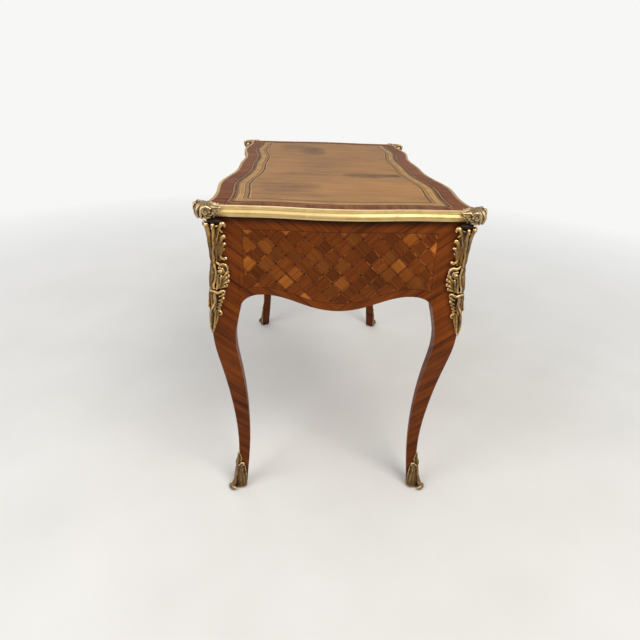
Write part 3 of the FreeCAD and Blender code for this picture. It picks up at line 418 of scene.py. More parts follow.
@dataclass(frozen=True)
class Parquetry:
    """Squares set on their points between narrow strips, inside a crossbanded border.

    Strip and seam are shares of a square's side, the other measures are metres.
    """

    name: str
    along_x: bool
    centre: float
    half_span: float
    low: float
    high: float
    outline: Outline = ()
    middle: float = 0.6545
    side: float = 0.0284
    strip: float = 0.070
    border: float = 0.018
    shift: float = 0.0
    seam: float = 0.006
    seam_blur: float = 0.012

    def distances(self, sheet: Sheet, place: Signal, height: Signal) -> Signal:
        """Metres inside the parquetry field, negative in the border."""
        inside = (self.half_span - abs(place)).lesser(self.high - height)
        if self.outline:
            share = sheet.fit(abs(place), 0.0, self.half_span + self.border)
            curve = [(a, (b - self.low) / (self.high - self.low)) for a, b in self.outline]
            level = sheet.node("ShaderNodeFloatCurve", {"curve": curve}, {0: 1.0, 1: share})
            lower_edge = level * (self.high - self.low) + self.low
            return inside.lesser(height - lower_edge - self.border)
        return inside.lesser(height - self.low)

    def cell_colour(self, sheet: Sheet, first: Signal, second: Signal) -> tuple[Signal, Signal]:
        """Colour and figure of the squares, strips and small blocks."""
        column = first.rounded()
        row = second.rounded()
        odd = abs(column + row) % 2.0
        luck = sheet.chance(column, row)
        mood = sheet.chance(row, column, 3.0)
        in_first = abs(first - column)
        in_second = abs(second - row)
        on_first = in_first.above(0.5 - self.strip)
        on_second = in_second.above(0.5 - self.strip)
        strip = on_first.greater(on_second)
        block = on_first * on_second
        turn = mood.above(0.5)
        along = sheet.choose(turn, first, second) * self.side
        across = sheet.choose(turn, second, first) * self.side
        figure = wood_grain(sheet, along, across, luck * 31 + row, 0.0024) * 0.72 + 0.14
        light = wood_colour(sheet, figure, TULIPWOOD)
        dark = wood_colour(sheet, figure, KINGWOOD)
        light = sheet.brighten(light, sheet.fit(luck, 0.80, 0.95, 1.0, 1.22))
        pale = (1 - odd * 0.7) * sheet.fit(luck, 0.50, 0.90, 0.04, 1.0)
        colour = sheet.blend(pale, dark, light)
        colour = sheet.brighten(colour, sheet.fit(mood, 0.0, 1.0, 0.58, 1.12))
        strip_along = sheet.choose(on_first, first, second) * self.side
        strip_figure = wood_grain(sheet, strip_along, (first + second) * self.side, luck, 0.003)
        beside_first = (first - 0.5).rounded()
        beside_second = (second - 0.5).rounded()
        luck_first = sheet.chance(beside_first, row, 7.0)
        luck_second = sheet.chance(column, beside_second, 11.0)
        strip_pale = sheet.fit(sheet.choose(on_first, luck_first, luck_second), 0.74, 0.98, 0.0, 0.5)
        strip_dark = wood_colour(sheet, strip_figure, KINGWOOD)
        strip_colour = sheet.blend(strip_pale, strip_dark, wood_colour(sheet, strip_figure, TULIPWOOD))
        colour = sheet.blend(strip, colour, strip_colour)
        block_weight = sheet.fit(sheet.noise(column, row, 5.0, 0.8, 0.0), 0.3, 0.6, 0.3, 1.0)
        colour = sheet.blend(block * block_weight, colour, shade(44, 22, 11))
        seam_first = in_first.line(0.5 - self.strip, self.seam, self.seam_blur)
        seam_second = in_second.line(0.5 - self.strip, self.seam, self.seam_blur)
        seam = seam_first.greater(seam_second)
        colour = sheet.blend(seam * 0.62, colour, shade(46, 20, 7))
        return colour, figure

    def material(self) -> bpy.types.Material:
        """Parquetry and its border under worn polish."""
        sheet = Sheet(self.name)
        x, y, z = sheet.place()
        place = (x if self.along_x else y) - self.centre
        pitch = self.side * math.sqrt(2)
        first = (place - self.shift + (z - self.middle)) / pitch
        second = (place - self.shift - (z - self.middle)) / pitch
        colour, figure = self.cell_colour(sheet, first, second)
        inside = self.distances(sheet, place, z)
        veneer = FriezeVeneer()
        border_figure = veneer.grain(sheet)
        border = wood_colour(sheet, border_figure, KINGWOOD)
        field_mask = inside.above(0.0)
        colour = sheet.blend(field_mask, border, colour)
        string_line = inside.line(0.0, 0.0003, 0.0005)
        colour = sheet.blend(string_line * 0.8, colour, shade(40, 18, 9))
        cloud = sheet.noise(x, y, z, CLOUD_SCALE, 3)
        # Random cloudy tone, times a band of painted shadow right under the brass edge.
        colour = sheet.brighten(colour, sheet.fit(cloud, 0.3, 0.7, 0.82, 1.14) * sheet.painted_shadow_under_top(z))
        rough = sheet.fit(cloud, 0.3, 0.7, 0.26, 0.40)
        height = sheet.choose(field_mask, border_figure, figure) - string_line
        return sheet.finish(colour, rough, sheet.bump(height, VENEER_SKIN), specular=0.10)


@dataclass(frozen=True)
class CrossBanding:
    """Border of the top, its grain running out to the edge all round."""

    name: str = "top_crossbanding"
    inner_x: float = 0.515
    inner_y: float = 0.275
    leaf: float = 0.115

    def material(self) -> bpy.types.Material:
        """Worn reddish veneer, dull at the edge of the leather."""
        sheet = Sheet(self.name)
        x, y, z = sheet.place()
        on_side = (abs(y) - self.inner_y).above(abs(x) - self.inner_x)
        along = sheet.choose(on_side, x, y)
        across = sheet.choose(on_side, y, x)
        leaf = (across / self.leaf).rounded()
        figure = wood_grain(sheet, along, across, sheet.chance(leaf, on_side) * 9, 0.0055)
        colour = wood_colour(sheet, figure, BORDER_WOOD)
        colour = sheet.brighten(colour, sheet.chance(leaf, on_side, 2.0) * 0.26 + 0.86)
        seam = abs(across / self.leaf - leaf).above(0.4965)
        colour = sheet.blend(seam * 0.6, colour, shade(50, 26, 16))
        mitre = abs((abs(y) - self.inner_y) - (abs(x) - self.inner_x)).below(0.0006)
        colour = sheet.blend(mitre * 0.7, colour, shade(46, 22, 14))
        wear = sheet.noise(x, y, z, 14.0, 4)
        colour = sheet.blend(sheet.fit(wear, 0.50, 0.74, 0.0, 0.5), colour, shade(122, 94, 72))
        rough = sheet.fit(wear, 0.3, 0.75, 0.26, 0.46)
        return sheet.finish(colour, rough, sheet.bump(figure - seam, 0.0001), specular=0.006)


@dataclass(frozen=True)
class TooledLeather:
    """Tan hide with stains, dark ruled lines and a gilt roll round its edge, all in metres.

    A rule is how far in from the edge it lies, the dark ones with half their width. A stain is
    its middle, its two radii and its weight.
    """

    name: str = "tooled_leather"
    dark_rules: tuple[tuple[float, float], ...] = ((0.0118, 0.0008), (0.0385, 0.0016))
    gilt_rules: tuple[float, ...] = (0.0185, 0.0262, 0.0412)
    scroll_pitch: float = 0.0058
    stains: tuple[tuple[float, float, float, float, float], ...] = (
        (0.275, 0.045, 0.085, 0.040, 0.75),
        (-0.150, -0.095, 0.032, 0.060, 0.70),
        (-0.143, -0.168, 0.022, 0.032, 0.95),
        (-0.300, 0.090, 0.060, 0.050, 0.42),
        (0.020, 0.020, 0.120, 0.080, 0.26),
        (0.390, 0.110, 0.060, 0.050, 0.45),
    )

    def material(self) -> bpy.types.Material:
        """The hide's colour, tooling, creases and sheen."""
        sheet = Sheet(self.name)
        x, y, z = sheet.place()
        edge, inward = sheet.surface_map()
        cloud = sheet.noise(x, y, z, 5.0, 5, 0.6)
        streak = sheet.noise(x * 42, y * 6, z, 1.0, 4, 0.6)
        tone = cloud * 0.6 + streak * 0.4
        stops = [(0.32, shade(112, 77, 46)), (0.5, shade(148, 108, 68)), (0.70, shade(168, 125, 80))]
        colour = sheet.ramp(tone, stops)
        broken = sheet.noise(x, y, z, 26.0, 5, 0.65)
        for sx, sy, rx, ry, weight in self.stains:
            far = ((x - sx) / rx) ** 2.0 + ((y - sy) / ry) ** 2.0
            mask = sheet.fit(far * 0.5 + broken * 1.3, 1.45, 0.55) * weight
            colour = sheet.blend(mask, colour, shade(66, 50, 38))
        rim = sheet.fit(inward, 0.052, 0.040)
        colour = sheet.blend(rim * 0.40, colour, shade(136, 100, 63))
        worn = sheet.fit(sheet.noise(x, y, z, 60.0, 3), 0.36, 0.56)
        dark = inward.line(0.0072, 0.0022)
        for centre, half_width in self.dark_rules:
            dark = dark.greater(inward.line(centre, half_width))
        dark = dark.greater(inward.line(0.0290, 0.0005) * 0.7).greater(sheet.fit(inward, 0.0022, 0.0008))
        colour = sheet.blend(dark * sheet.fit(worn, 0.0, 1.0, 0.62, 0.95), colour, shade(48, 34, 26))
        rope = (edge * (2 * math.pi / self.scroll_pitch) + inward * 900).wave()
        gilt = inward.line(0.0225, 0.0026) * sheet.fit(rope, -0.1, 0.5) * 0.6
        for centre in self.gilt_rules:
            gilt = gilt.greater(inward.line(centre, 0.0005))
        gilt = gilt * sheet.fit(sheet.noise(x, y, z, 34.0, 3), 0.36, 0.60, 0.25, 0.95)
        colour = sheet.blend(gilt * 0.85, colour, shade(204, 164, 92))
        pores = sheet.noise(x, y, z, 900.0, 3, 0.7)
        height = pores * 0.35 + streak * 0.25 - dark * 0.9 - gilt * 0.4
        rough = sheet.fit(cloud + gilt * -0.3, 0.3, 0.7, 0.42, 0.58)
        return sheet.finish(colour, rough, sheet.bump(height, 0.00022, 0.7), specular=0.025)


@dataclass(frozen=True)
class Metal:
    """Brass or steel: bright high places, a body colour and dark dirt in the hollows."""

    name: str
    bright: Tint
    body: Tint
    dirt: Tint
    rough: float
    carved: bool = False
    drawn: bool = False

    def material(self) -> bpy.types.Material:
        """The metal with its patina."""
        sheet = Sheet(self.name)
        x, y, z = sheet.place()
        cloud = sheet.noise(x, y, z, 34.0, 4, 0.6)
        speck = sheet.noise(x, y, z, 260.0, 3, 0.6)
        if self.carved:
            relief = sheet.node("ShaderNodeAttribute", {"attribute_name": "relief"}, output=2)
            tone = sheet.fit(relief + (cloud - 0.5) * 0.35 + (speck - 0.5) * 0.18, 0.22, 0.96)
        elif self.drawn:
            line = sheet.noise((abs(x) + abs(y)) * 4, z * 900, cloud, 1.0, 3)
            tone = sheet.fit(cloud * 0.34 + line * 0.66, 0.26, 0.66)
        else:
            tone = sheet.fit(cloud * 0.6 + speck * 0.4, 0.28, 0.66)
        bright, body, dirt = shade(*self.bright), shade(*self.body), shade(*self.dirt)
        colour = sheet.ramp(tone, [(0.0, dirt), (0.14, dirt), (0.50, body), (1.0, bright)])
        if self.carved:
            # Greyish tarnish in patches, its ramp rising to a near-white painted highlight on the proudest
            # places.
            tarnish_and_highlight = sheet.fit(sheet.noise(x, y, z, 30.0, 3, 0.6), 0.44, 0.60, 0.0, 0.6)
            stops = [(0.0, dirt), (0.5, shade(112, 90, 66)), (0.8, shade(158, 136, 108)),
                     (1.0, shade(226, 212, 190))]
            colour = sheet.blend(tarnish_and_highlight, colour, sheet.ramp(tone, stops))
        metallic = sheet.fit(tone, 0.05, 0.40, 0.70, 1.0)
        rough = sheet.fit(tone, 0.0, 1.0, self.rough + 0.26, self.rough)
        height = speck * 0.5 + cloud * 0.5
        return sheet.finish(colour, rough, sheet.bump(height, 0.00025, 0.5), metallic=metallic)


@dataclass(frozen=True)
class PlainWood:
    """Oak of the carcase and drawer linings, straight grained and waxed."""

    name: str
    tone: WoodTone
    along_x: bool

    def material(self) -> bpy.types.Material:
        """Oak with open pores and handled edges."""
        sheet = Sheet(self.name)
        x, y, z = sheet.place()
        along, across = (x, y) if self.along_x else (y, x)
        figure = wood_grain(sheet, along, across + z * 0.8, z * 11, 0.009)
        colour = wood_colour(sheet, figure, self.tone)
        dust = sheet.noise(x, y, z, 12.0, 4)
        colour = sheet.brighten(colour, sheet.fit(dust, 0.3, 0.7, 0.78, 1.1))
        return sheet.finish(colour, sheet.fit(dust, 0.3, 0.7, 0.5, 0.7), sheet.bump(figure, 0.0003))


@dataclass(frozen=True)
class FacedOak:
    """Oak board whose front and lower edges are faced with kingwood."""

    name: str = "faced_oak"
    front: float = -0.2300
    low: float = 0.6300

    def material(self) -> bpy.types.Material:
        """Oak behind, kingwood facing in front and below."""
        sheet = Sheet(self.name)
        x, y, z = sheet.place()
        oak = wood_colour(sheet, wood_grain(sheet, y, z, 2.0, 0.009), PLAIN_OAK)
        figure = FriezeVeneer().grain(sheet)
        facing = y.below(self.front).greater(z.below(self.low))
        colour = sheet.blend(facing, oak, wood_colour(sheet, figure, KINGWOOD))
        dust = sheet.noise(x, y, z, 12.0, 4)
        return sheet.finish(colour, sheet.fit(dust, 0.3, 0.7, 0.34, 0.56), sheet.bump(figure, 0.0002),
                            specular=0.12)


class Finishes:
    """Every material of the table, made once."""

    def __init__(self) -> None:
        """Makes the materials."""
        self.veneer = FriezeVeneer().material()
        self.border = CrossBanding().material()
        self.leather = TooledLeather().material()
        self.castings = self.metal("gilt_castings", (232, 196, 132), (144, 105, 54), (36, 23, 12), 0.27,
                                   carved=True)
        # A paler copy of the gilt brass for the clasps: painted highlight where the top's corners catch the
        # light.
        self.lit_clasps = self.metal("clasp_brass", (230, 208, 164), (150, 122, 82), (54, 38, 24), 0.30,
                                 carved=True)
        # Brass of the end edges, and a darker, duller copy of it for the long edges: painted shade standing
        # in for the dark reflections along the long sides.
        self.edge = self.metal("edge_brass", (232, 208, 154), (214, 186, 126), (150, 118, 72), 0.34,
                               drawn=True)
        self.shaded_long_edge = self.metal("long_edge_brass", (176, 146, 92), (146, 116, 66), (98, 72, 38), 0.42,
                                    drawn=True)
        self.fittings = self.metal("fitting_brass", (206, 168, 100), (160, 122, 68), (70, 48, 26), 0.28)
        self.shoes = self.metal("shoe_brass", (220, 192, 146), (116, 88, 54), (46, 32, 20), 0.30,
                                carved=True)
        self.handles = self.metal("handle_brass", (226, 192, 128), (162, 124, 72), (58, 40, 24), 0.24,
                                  carved=True)
        self.steel = self.metal("lock_steel", (150, 148, 142), (112, 108, 102), (56, 48, 42), 0.34)
        self.partition = FacedOak().material()
        self.oak_along = PlainWood("oak_along", PLAIN_OAK, True).material()
        self.oak_across = PlainWood("oak_across", PLAIN_OAK, False).material()

    @staticmethod
    def metal(*tones: object, **kind: bool) -> bpy.types.Material:
        """The material of one metal, from the same values as Metal."""
        return Metal(*tones, **kind).material()


def deselect() -> None:
    """Leaves edit mode and selects nothing."""
    if bpy.context.object is not None and bpy.context.object.mode != "OBJECT":
        bpy.ops.object.mode_set(mode="OBJECT")
    bpy.ops.object.select_all(action="DESELECT")


def only(piece: bpy.types.Object) -> bpy.types.Object:
    """Selects one object and makes it the active one."""
    deselect()
    piece.select_set(True)
    bpy.context.view_layer.objects.active = piece
    return piece


def add_object(name: str, mesh: bpy.types.Mesh) -> bpy.types.Object:
    """Puts a new object with that mesh into the scene."""
    piece = bpy.data.objects.new(name, mesh)
    bpy.context.scene.collection.objects.link(piece)
    return piece


def edit_all(piece: bpy.types.Object, action: Callable[..., object], **settings: object) -> None:
    """Runs an operator of edit mode on a whole mesh."""
    only(piece)
    bpy.ops.object.mode_set(mode="EDIT")
    bpy.ops.mesh.select_all(action="SELECT")
    action(**settings)
    bpy.ops.object.mode_set(mode="OBJECT")


def join(pieces: Sequence[bpy.types.Object]) -> bpy.types.Object:
    """Joins meshes into the first of them."""
    only(pieces[0])
    for piece in pieces:
        piece.select_set(True)
    if len(pieces) > 1:
        bpy.ops.object.join()
    return bpy.context.view_layer.objects.active


def modify(piece: bpy.types.Object, kind: str, **settings: object) -> None:
    """Applies a modifier to the active piece, its settings written in their order."""
    modifier = piece.modifiers.new(kind.lower(), kind)
    for key, value in settings.items():
        setattr(modifier, key, value)
    bpy.ops.object.modifier_apply(modifier=modifier.name)


def settle(piece: bpy.types.Object) -> bpy.types.Object:
    """Moves a piece's place, turn and scale into its mesh."""
    only(piece)
    bpy.ops.object.transform_apply(location=True, rotation=True, scale=True)
    return piece


def join_proud(piece: bpy.types.Object, parts: Sequence[bpy.types.Object],
               relief: float) -> bpy.types.Object:
    """Joins parts to a casting, all of them as proud as the relief says."""
    proud = [value.value for value in piece.data.attributes["relief"].data]
    piece = join([piece, *parts])
    proud += [relief] * (len(piece.data.vertices) - len(proud))
    piece.data.attributes["relief"].data.foreach_set("value", proud)
    return piece


def dress(piece: bpy.types.Object, body: str, slot: str, material: bpy.types.Material,
          *nodes: str) -> None:
    """Gives a finished piece its material, slot and body, and the nodes that it stands for."""
    piece.data.materials.clear()
    piece.data.materials.append(material)
    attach(piece, body)
    if nodes:
        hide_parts(*nodes)
    LOG.info("%s: %d faces on %s", piece.name, len(piece.data.polygons), body)


def paint_node(name: str, material: bpy.types.Material) -> None:
    """Gives a CAD node its material."""
    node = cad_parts[name]
    node.data.materials.clear()
    node.data.materials.append(material)
    LOG.info("%s: %s", name, material.name)


def node_copy(node: str, name: str) -> bpy.types.Object:
    """A merged copy of a CAD node with smooth faces between its sharp edges."""
    piece = add_object(name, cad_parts[node].data.copy())
    edit_all(piece, bpy.ops.mesh.remove_doubles, threshold=MERGE_DISTANCE)
    if piece.data.has_custom_normals:
        bpy.ops.mesh.customdata_custom_splitnormals_clear()
    bpy.ops.object.shade_smooth_by_angle(angle=WOOD_ANGLE)
    return piece


def swing_at(level: float) -> float:
    """How far the leg's arris stands outside the frieze corner at a height, in metres."""
    for (low, first), (high, second) in zip(LEG_SWING, LEG_SWING[1:]):
        if low <= level <= high:
            share = (level - low) / (high - low)
            smooth = share * share * (3 - 2 * share) * 0.5 + share * 0.5
            return (first + (second - first) * smooth) * MILLIMETRE
    return LEG_SWING[0][1] * MILLIMETRE if level < 0 else 0.0


def round_the_arris(place: Vector) -> Vector:
    """Folds a flat layout over the arris of the back right leg.

    Args:
        place: Across from the arris, up, and out from the wood, in millimetres. Across is
            positive on the end face and negative on the long side.

    Returns:
        The place in the table's frame, in metres.
    """
    across, level, out = place.x * MILLIMETRE, place.y * MILLIMETRE, place.z * MILLIMETRE
    swing = swing_at(level)
    half = ARRIS_RADIUS * math.pi / 4
    centre = Vector((CORNER.x + swing - ARRIS_RADIUS, CORNER.y + swing - ARRIS_RADIUS))
    angle = math.pi / 4 - max(-half, min(half, across)) / ARRIS_RADIUS
    point = centre + Vector((math.cos(angle), math.sin(angle))) * (ARRIS_RADIUS + out)
    rest = abs(across) - half
    if rest > 0:
        point += Vector((0, -rest)) if across > 0 else Vector((-rest, 0))
    return Vector((point.x, point.y, level))


@dataclass
class Casting:
    """A brass casting put together from bars and beads, and melted into one skin."""

    name: str
    place: Callable[[Vector], Vector]
    grain: float = 0.0009
    parts: list[bpy.types.Object] = field(default_factory=list)
    crisp: list[bpy.types.Object] = field(default_factory=list)
    shadowed: list[bpy.types.Object] = field(default_factory=list)

    def ring(self, place: Place, turn: Place, radius: float, thick: float) -> None:
        """Adds a turned ring that keeps its edges, in millimetres and degrees."""
        deselect()
        bpy.ops.mesh.primitive_torus_add(major_segments=28, minor_segments=10,
                                         major_radius=radius * MILLIMETRE, minor_radius=thick * MILLIMETRE,
                                         location=self.place(Vector(place)),
                                         rotation=[math.radians(angle) for angle in turn])
        self.crisp.append(settle(bpy.context.object))

    def block(self, place: Place, size: Place) -> None:
        """Adds a bevelled block that keeps its edges, its sizes in millimetres along x, y and z."""
        deselect()
        bpy.ops.mesh.primitive_cube_add(size=1.0, location=self.place(Vector(place)),
                                        scale=[length * MILLIMETRE for length in size])
        piece = settle(bpy.context.object)
        modify(piece, "BEVEL", width=0.0003, segments=2)
        self.crisp.append(piece)

    def shank(self, place: Place, radius: float, length: float, sides: int = 20) -> None:
        """Adds a rod along y that keeps its edges, its middle and sizes in millimetres."""
        deselect()
        bpy.ops.mesh.primitive_cylinder_add(vertices=sides, radius=radius * MILLIMETRE,
                                            depth=length * MILLIMETRE, location=self.place(Vector(place)),
                                            rotation=(math.radians(90), 0, 0))
        piece = settle(bpy.context.object)
        modify(piece, "BEVEL", width=0.0004, segments=2)
        self.crisp.append(piece)

    def core(self, place: Place, size: Place) -> None:
        """Adds a body that stays dark, its place and radii in millimetres."""
        self.bead(place, size)
        self.shadowed.append(self.parts.pop())

    def bar(self, places: Places, radii: Sequence[float], flat: float = 1.0, sign: int = 1) -> None:
        """Adds a tapering bar.

        Args:
            places: Places of its line in the flat layout, in millimetres.
            radii: Its radii in millimetres, spread along the line.
            flat: Its thickness as a share of its width.
            sign: 1, or -1 for the layout's other side.
        """
        deselect()
        bpy.ops.curve.primitive_nurbs_path_add()
        curve = bpy.context.object.data
        curve.splines.clear()
        spline = curve.splines.new("NURBS")
        spline.points.add(len(places) - 1)
        for number, (point, (x, y, z)) in enumerate(zip(spline.points, places)):
            spot = Vector((x * sign, y, z / flat))
            point.co = (*(self.place(spot) / MILLIMETRE if flat == 1.0 else spot), 1.0)
            share = number / max(1, len(places) - 1) * (len(radii) - 1)
            low = min(int(share), len(radii) - 2)
            point.radius = radii[low] + (radii[low + 1] - radii[low]) * (share - low)
        spline.use_endpoint_u = True
        spline.order_u = min(3, len(places))
        curve.resolution_u = 5
        curve.bevel_depth = 1.0
        curve.bevel_resolution = 2
        curve.use_fill_caps = True
        curve.twist_mode = "MINIMUM"
        bpy.ops.object.convert(target="MESH")
        piece = bpy.context.object
        if flat == 1.0:
            piece.data.transform(Matrix.Diagonal((MILLIMETRE, MILLIMETRE, MILLIMETRE, 1)))
            piece.matrix_world = Matrix.Identity(4)
            self.parts.append(piece)
        else:
            self.take(piece, flat)

    def bars(self, places: Places, radii: Sequence[float], flat: float = 1.0) -> None:
        """Adds a bar and its mirror image."""
        for sign in (1, -1):
            self.bar(places, radii, flat, sign)

    def bead(self, place: Place, size: Place, turn: float = 0.0, sign: int = 1) -> None:
        """Adds a bead or lobe.

        Args:
            place: Its middle in the flat layout, in millimetres.
            size: Its radii across, up and out, in millimetres.
            turn: Turn in the plane of the layout, in degrees.
            sign: 1, or -1 for the layout's other side.
        """
        deselect()
        bpy.ops.mesh.primitive_uv_sphere_add(
            segments=14, ring_count=9, radius=1.0, location=(place[0] * sign, place[1], place[2]),
            rotation=(0, 0, math.radians(turn) * sign), scale=size)
        self.take(settle(bpy.context.object), 1.0)

    def beads(self, place: Place, size: Place, turn: float = 0.0) -> None:
        """Adds a bead and its mirror image."""
        for sign in (1, -1):
            self.bead(place, size, turn, sign)

    def take(self, piece: bpy.types.Object, flat: float) -> None:
        """Moves a part from the flat layout to its place on the table."""
        for vertex in piece.data.vertices:
            vertex.co = self.place(Vector((vertex.co.x, vertex.co.y, vertex.co.z * flat)))
        piece.matrix_world = Matrix.Identity(4)
        self.parts.append(piece)

    def melt(self, smoothing: int = 2, worn: float = 0.0) -> bpy.types.Object:
        """Melts the parts into one skin and marks its hollows.

        Args:
            smoothing: Rounds of smoothing over the skin.
            worn: Unevenness of the hand-chased skin, in metres.

        Returns:
            The casting.
        """
        piece = join(self.parts)
        piece.name = self.name
        modify(piece, "REMESH", mode="VOXEL", voxel_size=self.grain, use_smooth_shade=True)
        if worn:
            texture = bpy.data.textures.new(self.name + "_chasing", "CLOUDS")
            texture.noise_scale = CHASING_SCALE
            texture.noise_depth = 1
            modify(piece, "DISPLACE", texture=texture, texture_coords="LOCAL", strength=worn,
                   mid_level=0.52)
        modify(piece, "SMOOTH", factor=0.5, iterations=smoothing)
        self.mark_hollows(piece.data)
        for parts, relief in ((self.crisp, CRISP_RELIEF), (self.shadowed, 0.0)):
            for part in parts:
                only(part)
                bpy.ops.object.shade_smooth_by_angle(angle=CASTING_ANGLE)
            piece = join_proud(piece, parts, relief)
        return piece

    def mark_hollows(self, mesh: bpy.types.Mesh, rounds: int = 22, reach: float = 0.0015) -> None:
        """Writes how proud each vertex stands of its surroundings, from 0 to 1."""
        count = len(mesh.vertices)
        place = np.empty(count * 3)
        mesh.vertices.foreach_get("co", place)
        place = place.reshape(-1, 3)
        normal = np.empty(count * 3)
        mesh.vertices.foreach_get("normal", normal)
        normal = normal.reshape(-1, 3)
        ends = np.empty(len(mesh.edges) * 2, dtype=np.int32)
        mesh.edges.foreach_get("vertices", ends)
        first, second = ends[::2], ends[1::2]
        degree = np.bincount(ends, minlength=count)[:, None]
        soft = place.copy()
        for _ in range(rounds):
            total = np.empty_like(soft)
            for axis in range(3):
                column = soft[:, axis]
                total[:, axis] = np.bincount(first, column[second], count)
                total[:, axis] += np.bincount(second, column[first], count)
            soft = total / degree
        proud = ((place - soft) * normal).sum(1) / reach * 0.5 + 0.5
        attribute = mesh.attributes.new("relief", "FLOAT", "POINT")
        attribute.data.foreach_set("value", np.clip(proud, 0, 1).astype(np.float32))


def copy_to_corners(piece: bpy.types.Object, name: str, material: bpy.types.Material) -> None:
    """Puts a mirrored copy of a back right piece at each corner, and removes the piece."""
    for corner in Corner:
        sign_x, sign_y = corner.value
        node = f"{name}_{corner.label}"
        copy = add_object("carved_" + node, piece.data.copy())
        copy.data.transform(Matrix.Diagonal((sign_x, sign_y, 1, 1)))
        if sign_x * sign_y < 0:
            copy.data.flip_normals()
        dress(copy, "table", "gilt_brass", material, node)
    bpy.data.objects.remove(piece)


